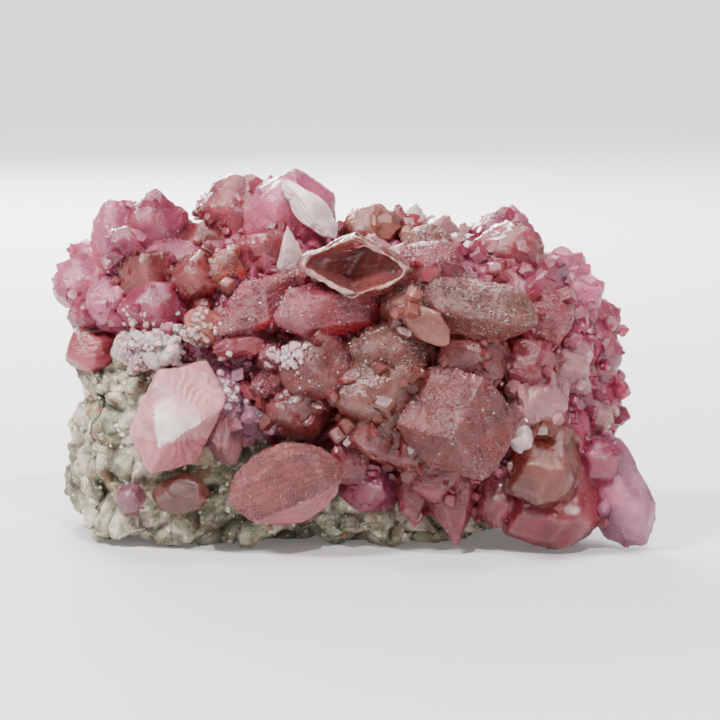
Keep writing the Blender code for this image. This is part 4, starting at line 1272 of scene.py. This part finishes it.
print("points of the tiny shapes:", [len(shape) for shape, faces in TINY_SHAPES])

# %% [markdown]
# ## Growth steps
# Large calcite crystals often carry small ones that grew the same way round, like steps up their sides. Such
# steps break up the smooth outlines. A place is picked on a crystal's outer part, and the small crystal there
# points the way its host does. A few crystals, such as the white blades and the big one in front, are
# clean in the specimen and stay so.

# %% Where growth steps stand
STEPS = 430
STEP_CROWD, STEP_PATCH, STEP_SEED = 0.8, 3.4, 71
STEP_ALONG, STEP_LEAST = 0.25, 0.1
OUTER_PART, TOO_FROSTED = 0.3, 0.5
RIM_MARGIN = 1.5
UNSTEPPED = {
    "crest_white", "white_blade", "tongue", "cleaved", "spearhead", "down_tooth", "round_foot", "olive_round",
}
grown_in_order = NAMED + [crystal for crystal, middle in SMALL]
host_ways = np.array([Vector(crystal.points).normalized() for crystal in grown_in_order])
host_lengths = np.array([crystal.size[0] for crystal in grown_in_order])
along_host = surface_facts[corners, 5].mean(axis=1)
hosts = owner[nearest[corners[:, 0]]]
unstepped = [number for number, crystal in enumerate(grown_in_order) if crystal.name in UNSTEPPED]
can_step = (hosts < len(grown_in_order)) & ~np.isin(hosts, unstepped)
can_step &= shown & (along_host > OUTER_PART) & (frosted < TOO_FROSTED)
can_step &= np.linalg.norm(middles - np.array(socket_middle), axis=1) > RIM_REACH + RIM_MARGIN
step_crowds = np.clip(0.6 + STEP_CROWD * waves(middles, STEP_PATCH, STEP_SEED), STEP_LEAST, 1)
step_share = areas * can_step * (STEP_ALONG + along_host) * step_crowds
stepped = chance.choice(len(areas), size=STEPS, p=step_share / step_share.sum())
print("crystals with steps:", len(set(hosts[stepped].tolist())))

# %% Growing the steps
STEP_LENGTH, STEP_POWER = (1.6, 4.6), 1.6
STEP_SHARE = 0.42
STEP_SET_IN, STEP_SUNK = 0.22, 0.62
STEP_LEAN, STEP_SLIM = 0.10, 0.7
step_lengths = between(STEP_LENGTH, chance.random(STEPS) ** STEP_POWER)
step_lengths = np.minimum(step_lengths, STEP_SHARE * host_lengths[hosts[stepped]])
step_places = middles[stepped] - ways[stepped] * (STEP_SET_IN * step_lengths)[:, None]
steps = set_tiny("growth_steps", step_places, host_ways[hosts[stepped]], step_lengths,
                 surface_facts[corners[stepped, 0], :3], 73, lean=STEP_LEAN, sunk=STEP_SUNK, slim=STEP_SLIM)
print("growth steps:", STEPS, "triangles:", len(steps.data.polygons))

# %% [markdown]
# ## White blades
# Three crystals broke along a cleavage plane and show fresh, white, pearly breaks. The cluster is one mesh
# with one finish, so each of these gets a thin white skin, a little larger than itself, with the finish
# of the white druse. Tinted in the cluster's own finish they would look grey, because its inside is red.

# %% The white blades on top
WHITE_BLADES = {"crest_white", "white_blade", "cleaved"}
BLADE_GROWTH = 1.06
BLADE_TINT = (0.94, 0.71, 0.71)
blades = []
for crystal in NAMED:
    if crystal.name in WHITE_BLADES:
        points, edge, along = soft_crystal(crystal, COARSE)
        turn = np.array(crystal_turn(crystal.points, crystal.roll))
        placed = BLADE_GROWTH * points @ turn.T + np.array(middle_of(crystal))
        blade = mesh_object(f"{crystal.name}_skin", placed, ball(COARSE)[1])
        white = np.tile((*BLADE_TINT, 0.0), (len(placed), 1))
        keep_facts(blade.data, np.column_stack((white, edge, np.ones(len(placed)))))
        blades.append(blade)
print("white blades:", [blade.name for blade in blades])

# %% [markdown]
# ## Druse in the seams
# Wherever two large crystals meet, a crust of tiny ones, called druse, fills the seam. A point of the
# surface lies on a seam if the listed points around it belong to more than one crystal. More of them
# stand on the massive calcite wherever it shows. The hollow's rim and the white blades stay clear.

# %% Druse in the seams of the cluster
SEAM_TRIES = 5000
SEAM_REACH = 0.75
SEAM_MOST = 900
LOBE_TINY = 700
SEAM_LENGTH = (0.4, 1.9)
SEAM_PALER = 0.06
white_numbers = {number for number, crystal in enumerate(NAMED) if crystal.name in WHITE_BLADES}
tried = chance.choice(len(areas), size=SEAM_TRIES, p=areas * shown / (areas * shown).sum())
seams = []
for triangle in tried:
    around = {owner[number] for place, number, away in lookup.find_range(middles[triangle], SEAM_REACH)}
    clear_of_rim = np.linalg.norm(middles[triangle] - np.array(socket_middle)) > RIM_REACH
    if len(around) > 1 and clear_of_rim and not around & white_numbers and len(seams) < SEAM_MOST:
        seams.append(triangle)
lobe_share = areas * (np.isin(hosts, lobe_numbers) & shown)
seams = np.concatenate((seams, chance.choice(len(areas), size=LOBE_TINY, p=lobe_share / lobe_share.sum())))
seam_tints = paler(surface_facts[corners[seams, 0], :3], SEAM_PALER)
seam_lengths = between(SEAM_LENGTH, chance.random(len(seams)) ** 2)
seam_druse = set_tiny("seam_druse", middles[seams], ways[seams], seam_lengths, seam_tints, 51)
print("tiny crystals in seams:", len(seams), "triangles:", len(seam_druse.data.polygons))

# %% [markdown]
# ## White crust
# Small whitish crystals crowd where the calcite thins out over the rock. Five spots are given, each with how
# far its crust reaches and how many crystals it has. The nearer to the spot, the more there are.

# %% White crust over the rock
CRUST_GROWTHS = [
    ((-19.6, 0.9, -8.6), 2.3, 240), ((-16.4, 1.0, -9.6), 1.9, 200), ((-6.2, 0.4, -11.8), 1.0, 70),
    ((-11.4, -2.6, -10.4), 1.4, 36), ((-14.0, 2.6, -10.0), 1.4, 40),
]
CRUST_LENGTH = (0.25, 0.8)
CRUST_TINT = (0.74, 0.45, 0.45)
FACING_BEHIND = 0.3
crust_places, crust_ways = [], []
for spot, reach, wanted_count in CRUST_GROWTHS:
    away = np.linalg.norm(middles - np.array(from_front(*spot)), axis=1)
    close = areas * np.exp(-(away / reach) ** 2) * (ways[:, 1] < FACING_BEHIND) * shown
    grown = chance.choice(len(areas), size=wanted_count, p=close / close.sum())
    crust_places.append(middles[grown])
    crust_ways.append(ways[grown])
crust_places, crust_ways = np.concatenate(crust_places), np.concatenate(crust_ways)
crust_lengths = between(CRUST_LENGTH, chance.random(len(crust_places)) ** 2)
crust_tints = np.tile(np.array(CRUST_TINT), (len(crust_places), 1))
white_druse = set_tiny("white_druse", crust_places, crust_ways, crust_lengths, crust_tints, 53)
print("tiny white crystals:", len(crust_places), "triangles:", len(white_druse.data.polygons))

# %% [markdown]
# ## Grit on the rock
# The bare rock is full of small grains of several minerals: cream, grey-green, dark green, rusty and white.
# They are the tiny crystals again, half sunk, in patches. Noise in the finish would colour the rock
# but would not make grains that catch the light.

# %% Grit on the rock's surface
GRIT_KINDS = {
    (0.70, 0.62, 0.50): 0.3, (0.50, 0.47, 0.36): 0.25, (0.30, 0.30, 0.21): 0.2,
    (0.30, 0.14, 0.07): 0.1, (0.80, 0.72, 0.62): 0.15,
}
GRIT_GRAINS = 2200
GRIT_LENGTH = (0.22, 0.85)
GRIT_SUNK = 0.45
GRIT_CROWD, GRIT_PATCH, GRIT_LEAST, GRIT_SEED = 1.2, 3.0, 0.03, 61
GRIT_LOWEST = 0.5
_, rock_middles, rock_areas, rock_ways = triangles_of(rock_mesh)
bare = rock_areas * (rock_middles[:, 2] > GRIT_LOWEST)
bare *= np.clip(0.5 + GRIT_CROWD * waves(rock_middles, GRIT_PATCH, GRIT_SEED), GRIT_LEAST, 1)
gritted = chance.choice(len(bare), size=GRIT_GRAINS, p=bare / bare.sum())
grit_lengths = between(GRIT_LENGTH, chance.random(GRIT_GRAINS) ** 3)
kinds = chance.choice(len(GRIT_KINDS), size=GRIT_GRAINS, p=list(GRIT_KINDS.values()))
grit_tints = np.array(list(GRIT_KINDS))[kinds]
rock_grit = set_tiny("rock_grit", rock_middles[gritted], rock_ways[gritted], grit_lengths, grit_tints, 63,
                     sunk=GRIT_SUNK)
print("grit:", GRIT_GRAINS, "triangles:", len(rock_grit.data.polygons))

# %% [markdown]
# ## Finishes
# Every finish is built from shader nodes, so it works at any distance and from any side. Short helpers
# keep the node code readable: they add a node, read a stored fact, make noise, mix colours and
# stretch a range of values.

# %% Helpers for shader nodes
CALCITE_IOR = 1.58


def new_finish(name):
    """A material, its node tree and its main shader."""
    finish = bpy.data.materials.new(name)
    finish.use_nodes = True
    return finish, finish.node_tree, finish.node_tree.nodes["Principled BSDF"]


def add(tree, kind, inputs=None, **settings):
    """Adds a node, with values or links for its inputs."""
    node = tree.nodes.new(kind)
    for name, value in settings.items():
        setattr(node, name, value)
    for name, value in (inputs or {}).items():
        if isinstance(value, bpy.types.NodeSocket):
            tree.links.new(value, node.inputs[name])
        else:
            node.inputs[name].default_value = value
    return node


def fact(tree, name):
    """Reads a fact that is stored on the mesh."""
    return add(tree, "ShaderNodeAttribute", attribute_name=name)


def grainy(tree, size, detail=4.0, roughness=0.55):
    """Noise whose lumps are about that many millimetres across."""
    place = add(tree, "ShaderNodeTexCoord").outputs["Object"]
    inputs = {"Vector": place, "Scale": 1 / (size * MM), "Detail": detail, "Roughness": roughness}
    return add(tree, "ShaderNodeTexNoise", inputs)


def blend(tree, share, low, high, mode="MIX"):
    """Mixes two colours."""
    return add(tree, "ShaderNodeMix", {"Factor": share, "A": low, "B": high},
               data_type="RGBA", blend_type=mode)


def ramp(tree, value, stops):
    """A colour ramp through (place, colour) stops."""
    node = add(tree, "ShaderNodeValToRGB", {"Fac": value})
    while len(node.color_ramp.elements) < len(stops):
        node.color_ramp.elements.new(0.5)
    for element, (place, shade) in zip(node.color_ramp.elements, stops):
        element.position = place
        element.color = (*shade, 1) if len(shade) == 3 else shade
    return node.outputs["Color"]


def spread(tree, value, low, high, least, most):
    """Stretches a value from low..high to least..most, and keeps it within."""
    inputs = {"Value": value, "From Min": low, "From Max": high, "To Min": least, "To Max": most}
    return add(tree, "ShaderNodeMapRange", inputs).outputs["Result"]


def times(tree, first, second):
    """Multiplies two numbers."""
    return add(tree, "ShaderNodeMath", {0: first, 1: second}, operation="MULTIPLY").outputs[0]


print("light bends by", CALCITE_IOR)

# %% [markdown]
# ## The finish of the rose calcite
# The crystals are see-through but cloudy: light goes in, is tinted on its way and comes out elsewhere.
# The shader mixes transmission with light scattered under the skin. The tint comes from the stored fact, goes
# over to a root colour where a crystal starts and is paler at the edges, a painted highlight. A
# thin film dulls the frosted parts, which are also rougher, and a fine bump stands for what is smaller
# than the grains. Glass alone would look like a drop of syrup.

# %% Cloudy crystal, tinted by its facts
CLOUD_SIZE, FILM_SIZE, SUGAR_SIZE = 2.4, 0.8, 0.17
FILM = (0.40, 0.125, 0.12, 1)
# The next colour is the painted highlight along the crystals' edges.
PAINTED_EDGE_HIGHLIGHT = (0.92, 0.58, 0.63, 1)
ROOT = (0.42, 0.14, 0.15, 1)
CLOUDS_DARKEST, CLOUDS_LIGHTEST = 0.68, 1.18
ROOT_END, ROOT_SHARE = 0.45, 0.35
FILM_LEAST, FILM_MOST = 0.02, 0.20
FROST_ROUGHNESS = 0.22
SCATTER_SHARE, SCATTER_RADIUS, SCATTER_DEPTH = 0.6, (1.0, 0.40, 0.45), 1.2
FINE_SIZE, BUMP_STRENGTH, BUMP_DEPTH = 0.4, 0.8, 0.12


def crystal_finish(name, clear, absorbing, density, edge_highlight, base_roughness):
    """A finish for crystals: how clear, what colour the inside takes out, and how rough the skin is."""
    finish, tree, shader = new_finish(name)
    tint = fact(tree, "tint").outputs["Color"]
    frost = fact(tree, "frost").outputs["Fac"]
    edge = fact(tree, "edge").outputs["Fac"]
    along = fact(tree, "along").outputs["Fac"]
    clouds = grainy(tree, CLOUD_SIZE).outputs["Fac"]
    film = grainy(tree, FILM_SIZE, detail=6.0).outputs["Fac"]
    depth = spread(tree, clouds, 0.35, 0.68, CLOUDS_DARKEST, CLOUDS_LIGHTEST)
    shaded = add(tree, "ShaderNodeVectorMath", {0: tint, "Scale": depth}, operation="SCALE").outputs[0]
    near_root = spread(tree, along, 0.0, ROOT_END, ROOT_SHARE, 0.0)
    rooted = blend(tree, near_root, shaded, ROOT).outputs["Result"]
    filmed = times(tree, frost, spread(tree, film, 0.46, 0.62, FILM_LEAST, FILM_MOST))
    cloudy = blend(tree, filmed, rooted, FILM).outputs["Result"]
    # Painted highlight: near edges and ledge lips the colour is blended towards a pale pink.
    colour = blend(tree, times(tree, edge, edge_highlight), cloudy, PAINTED_EDGE_HIGHLIGHT).outputs["Result"]
    tree.links.new(colour, shader.inputs["Base Color"])
    rough = spread(tree, frost, 0.0, 1.0, base_roughness, base_roughness + FROST_ROUGHNESS)
    tree.links.new(rough, shader.inputs["Roughness"])
    shader.inputs["IOR"].default_value = CALCITE_IOR
    shader.inputs["Transmission Weight"].default_value = clear
    shader.inputs["Subsurface Weight"].default_value = SCATTER_SHARE
    shader.inputs["Subsurface Radius"].default_value = SCATTER_RADIUS
    shader.inputs["Subsurface Scale"].default_value = SCATTER_DEPTH * MM
    sugar = add(tree, "ShaderNodeTexVoronoi", {"Scale": 1 / (SUGAR_SIZE * MM)})
    tree.links.new(add(tree, "ShaderNodeTexCoord").outputs["Object"], sugar.inputs["Vector"])
    sugared = times(tree, sugar.outputs["Distance"], frost)
    fine = grainy(tree, FINE_SIZE, detail=5.0).outputs["Fac"]
    height = add(tree, "ShaderNodeMath", {0: sugared, 1: fine}, operation="ADD").outputs[0]
    relief = {"Height": height, "Strength": BUMP_STRENGTH, "Distance": BUMP_DEPTH * MM}
    bump = add(tree, "ShaderNodeBump", relief)
    tree.links.new(bump.outputs["Normal"], shader.inputs["Normal"])
    if density:
        inside = add(tree, "ShaderNodeVolumeAbsorption")
        inside.inputs["Color"].default_value = (*absorbing, 1)
        inside.inputs["Density"].default_value = density
        tree.links.new(inside.outputs["Volume"], tree.nodes["Material Output"].inputs["Volume"])
    return finish


print("shades between root and edge:", ROOT, PAINTED_EDGE_HIGHLIGHT)

# %% The crystals' finishes: how clear, what the inside takes out and how strongly, painted edge highlight, roughness
rose_calcite = crystal_finish("cloudy_rose", 0.58, (0.88, 0.34, 0.43), 400.0, 0.16, 0.14)
dusky_calcite = crystal_finish("cloudy_dusky_rose", 0.40, (0.86, 0.38, 0.38), 330.0, 0.12, 0.22)
pale_calcite = crystal_finish("cloudy_cream", 0.25, (0.95, 0.72, 0.70), 120.0, 0.2, 0.30)
lilac_calcite = crystal_finish("clear_lilac", 0.75, (0.86, 0.72, 0.80), 160.0, 0.3, 0.14)
smoky_calcite = crystal_finish("clear_smoky", 0.80, (0.70, 0.56, 0.46), 220.0, 0.3, 0.12)
white_calcite = crystal_finish("white_druse_skin", 0.25, (1.0, 1.0, 1.0), 0.0, 0.3, 0.16)
grit_finish = crystal_finish("rock_grit_skin", 0.0, (1.0, 1.0, 1.0), 0.0, 0.0, 0.35)
sugar_calcite = crystal_finish("sugar_grains", 0.45, (1.0, 1.0, 1.0), 0.0, 0.15, 0.10)
print("clear and cloudy:", [finish.name for finish in bpy.data.materials if finish.name[:2] == "cl"])

# %% [markdown]
# ## The finish of the rock
# Dark, grey-green and cream minerals are mixed in patches, with rusty stains and pale specks. Each kind is
# one noise at its own size, and the mixes go from large to small. Hollows get painted shade, and the clefts
# the darkest, from the fact that is stored on the mesh. One noise for all of it would look like camouflage.

# %% Rock
ROCK_TINTS = [
    (0.38, (0.10, 0.11, 0.07)), (0.47, (0.25, 0.25, 0.17)),
    (0.54, (0.42, 0.37, 0.28)), (0.63, (0.66, 0.57, 0.46)),
]
RUST, SPECK = (0.26, 0.11, 0.05, 1), (0.72, 0.65, 0.53, 1)
PAINTED_HOLLOW_SHADE, PAINTED_CLEFT_SHADE = (0.06, 0.055, 0.04, 1), (0.055, 0.035, 0.022, 1)
PATCH_MM, RUST_MM, SPECK_MM, FINE_MM = 4.0, 3.0, 0.45, 0.25
ROCK_ROUGHNESS, ROCK_BUMP, ROCK_BUMP_DEPTH = 0.75, 0.9, 0.2
rock_finish, rock_tree, rock_shader = new_finish("knobbly_rock")
patch_noise = grainy(rock_tree, PATCH_MM, detail=8.0, roughness=0.7).outputs["Fac"]
minerals = ramp(rock_tree, patch_noise, ROCK_TINTS)
rust_noise = grainy(rock_tree, RUST_MM, detail=6.0, roughness=0.65).outputs["Fac"]
rusty = spread(rock_tree, rust_noise, 0.53, 0.66, 0.0, 0.85)
stained = blend(rock_tree, rusty, minerals, RUST).outputs["Result"]
speck_noise = grainy(rock_tree, SPECK_MM, detail=3.0).outputs["Fac"]
specked = spread(rock_tree, speck_noise, 0.56, 0.68, 0.0, 0.5)
gritty = blend(rock_tree, specked, stained, SPECK).outputs["Result"]
# Painted shade: hollows, found from pointiness, and the clefts darken the colour.
pointiness = add(rock_tree, "ShaderNodeNewGeometry").outputs["Pointiness"]
in_hollow = spread(rock_tree, pointiness, 0.49, 0.42, 0.0, 0.8)
hollowed = blend(rock_tree, in_hollow, gritty, PAINTED_HOLLOW_SHADE).outputs["Result"]
in_cleft = spread(rock_tree, fact(rock_tree, "cleft").outputs["Fac"], 0.35, 1.0, 0.0, 0.88)
deep = blend(rock_tree, in_cleft, hollowed, PAINTED_CLEFT_SHADE).outputs["Result"]
rock_tree.links.new(deep, rock_shader.inputs["Base Color"])
rock_shader.inputs["Roughness"].default_value = ROCK_ROUGHNESS
fine_noise = grainy(rock_tree, FINE_MM, detail=6.0).outputs["Fac"]
rock_relief = {"Height": fine_noise, "Strength": ROCK_BUMP, "Distance": ROCK_BUMP_DEPTH * MM}
rock_bump = add(rock_tree, "ShaderNodeBump", rock_relief)
rock_tree.links.new(rock_bump.outputs["Normal"], rock_shader.inputs["Normal"])
print("rock finish nodes:", len(rock_tree.nodes))

# %% [markdown]
# ## Handing over
# Each main piece takes the place of its imported solid, and the others are added to it. All of them get a
# finish and are carried by the specimen's one body.

# %% Pieces, finishes and the imported solids they replace
bpy.data.collections.remove(workshop)
for left in list(cutters.objects):
    bpy.data.objects.remove(left)
bpy.data.collections.remove(cutters)


def hand_over(piece, finish, slot, *solids):
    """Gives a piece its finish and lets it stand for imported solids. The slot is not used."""
    piece.data.materials.clear()
    piece.data.materials.append(finish)
    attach(piece, "root")
    if solids:
        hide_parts(*solids)


hand_over(cluster_body, rose_calcite, "rose_calcite", "crystal_cluster")
for frosting in frostings:
    hand_over(frosting, sugar_calcite, "rose_calcite")
hand_over(lens_grains, sugar_calcite, "dusky_rose_calcite")
hand_over(seam_druse, rose_calcite, "rose_calcite")
hand_over(white_druse, white_calcite, "rose_calcite")
for blade in blades:
    hand_over(blade, white_calcite, "rose_calcite")
hand_over(rock_body, rock_finish, "rock", "matrix_rock")
hand_over(rock_grit, grit_finish, "rock")
hand_over(steps, rose_calcite, "rose_calcite")
hand_over(singles["lens_crystal"], dusky_calcite, "dusky_rose_calcite", "lens_crystal")
hand_over(singles["rounded_crystal"], dusky_calcite, "dusky_rose_calcite", "rounded_crystal")
hand_over(singles["pale_crystal"], pale_calcite, "pale_calcite", "pale_crystal")
hand_over(singles["lilac_crystal"], lilac_calcite, "lilac_calcite", "lilac_crystal")
hand_over(singles["glassy_crystal"], smoky_calcite, "smoky_calcite", "glassy_crystal")
print("pieces handed over")
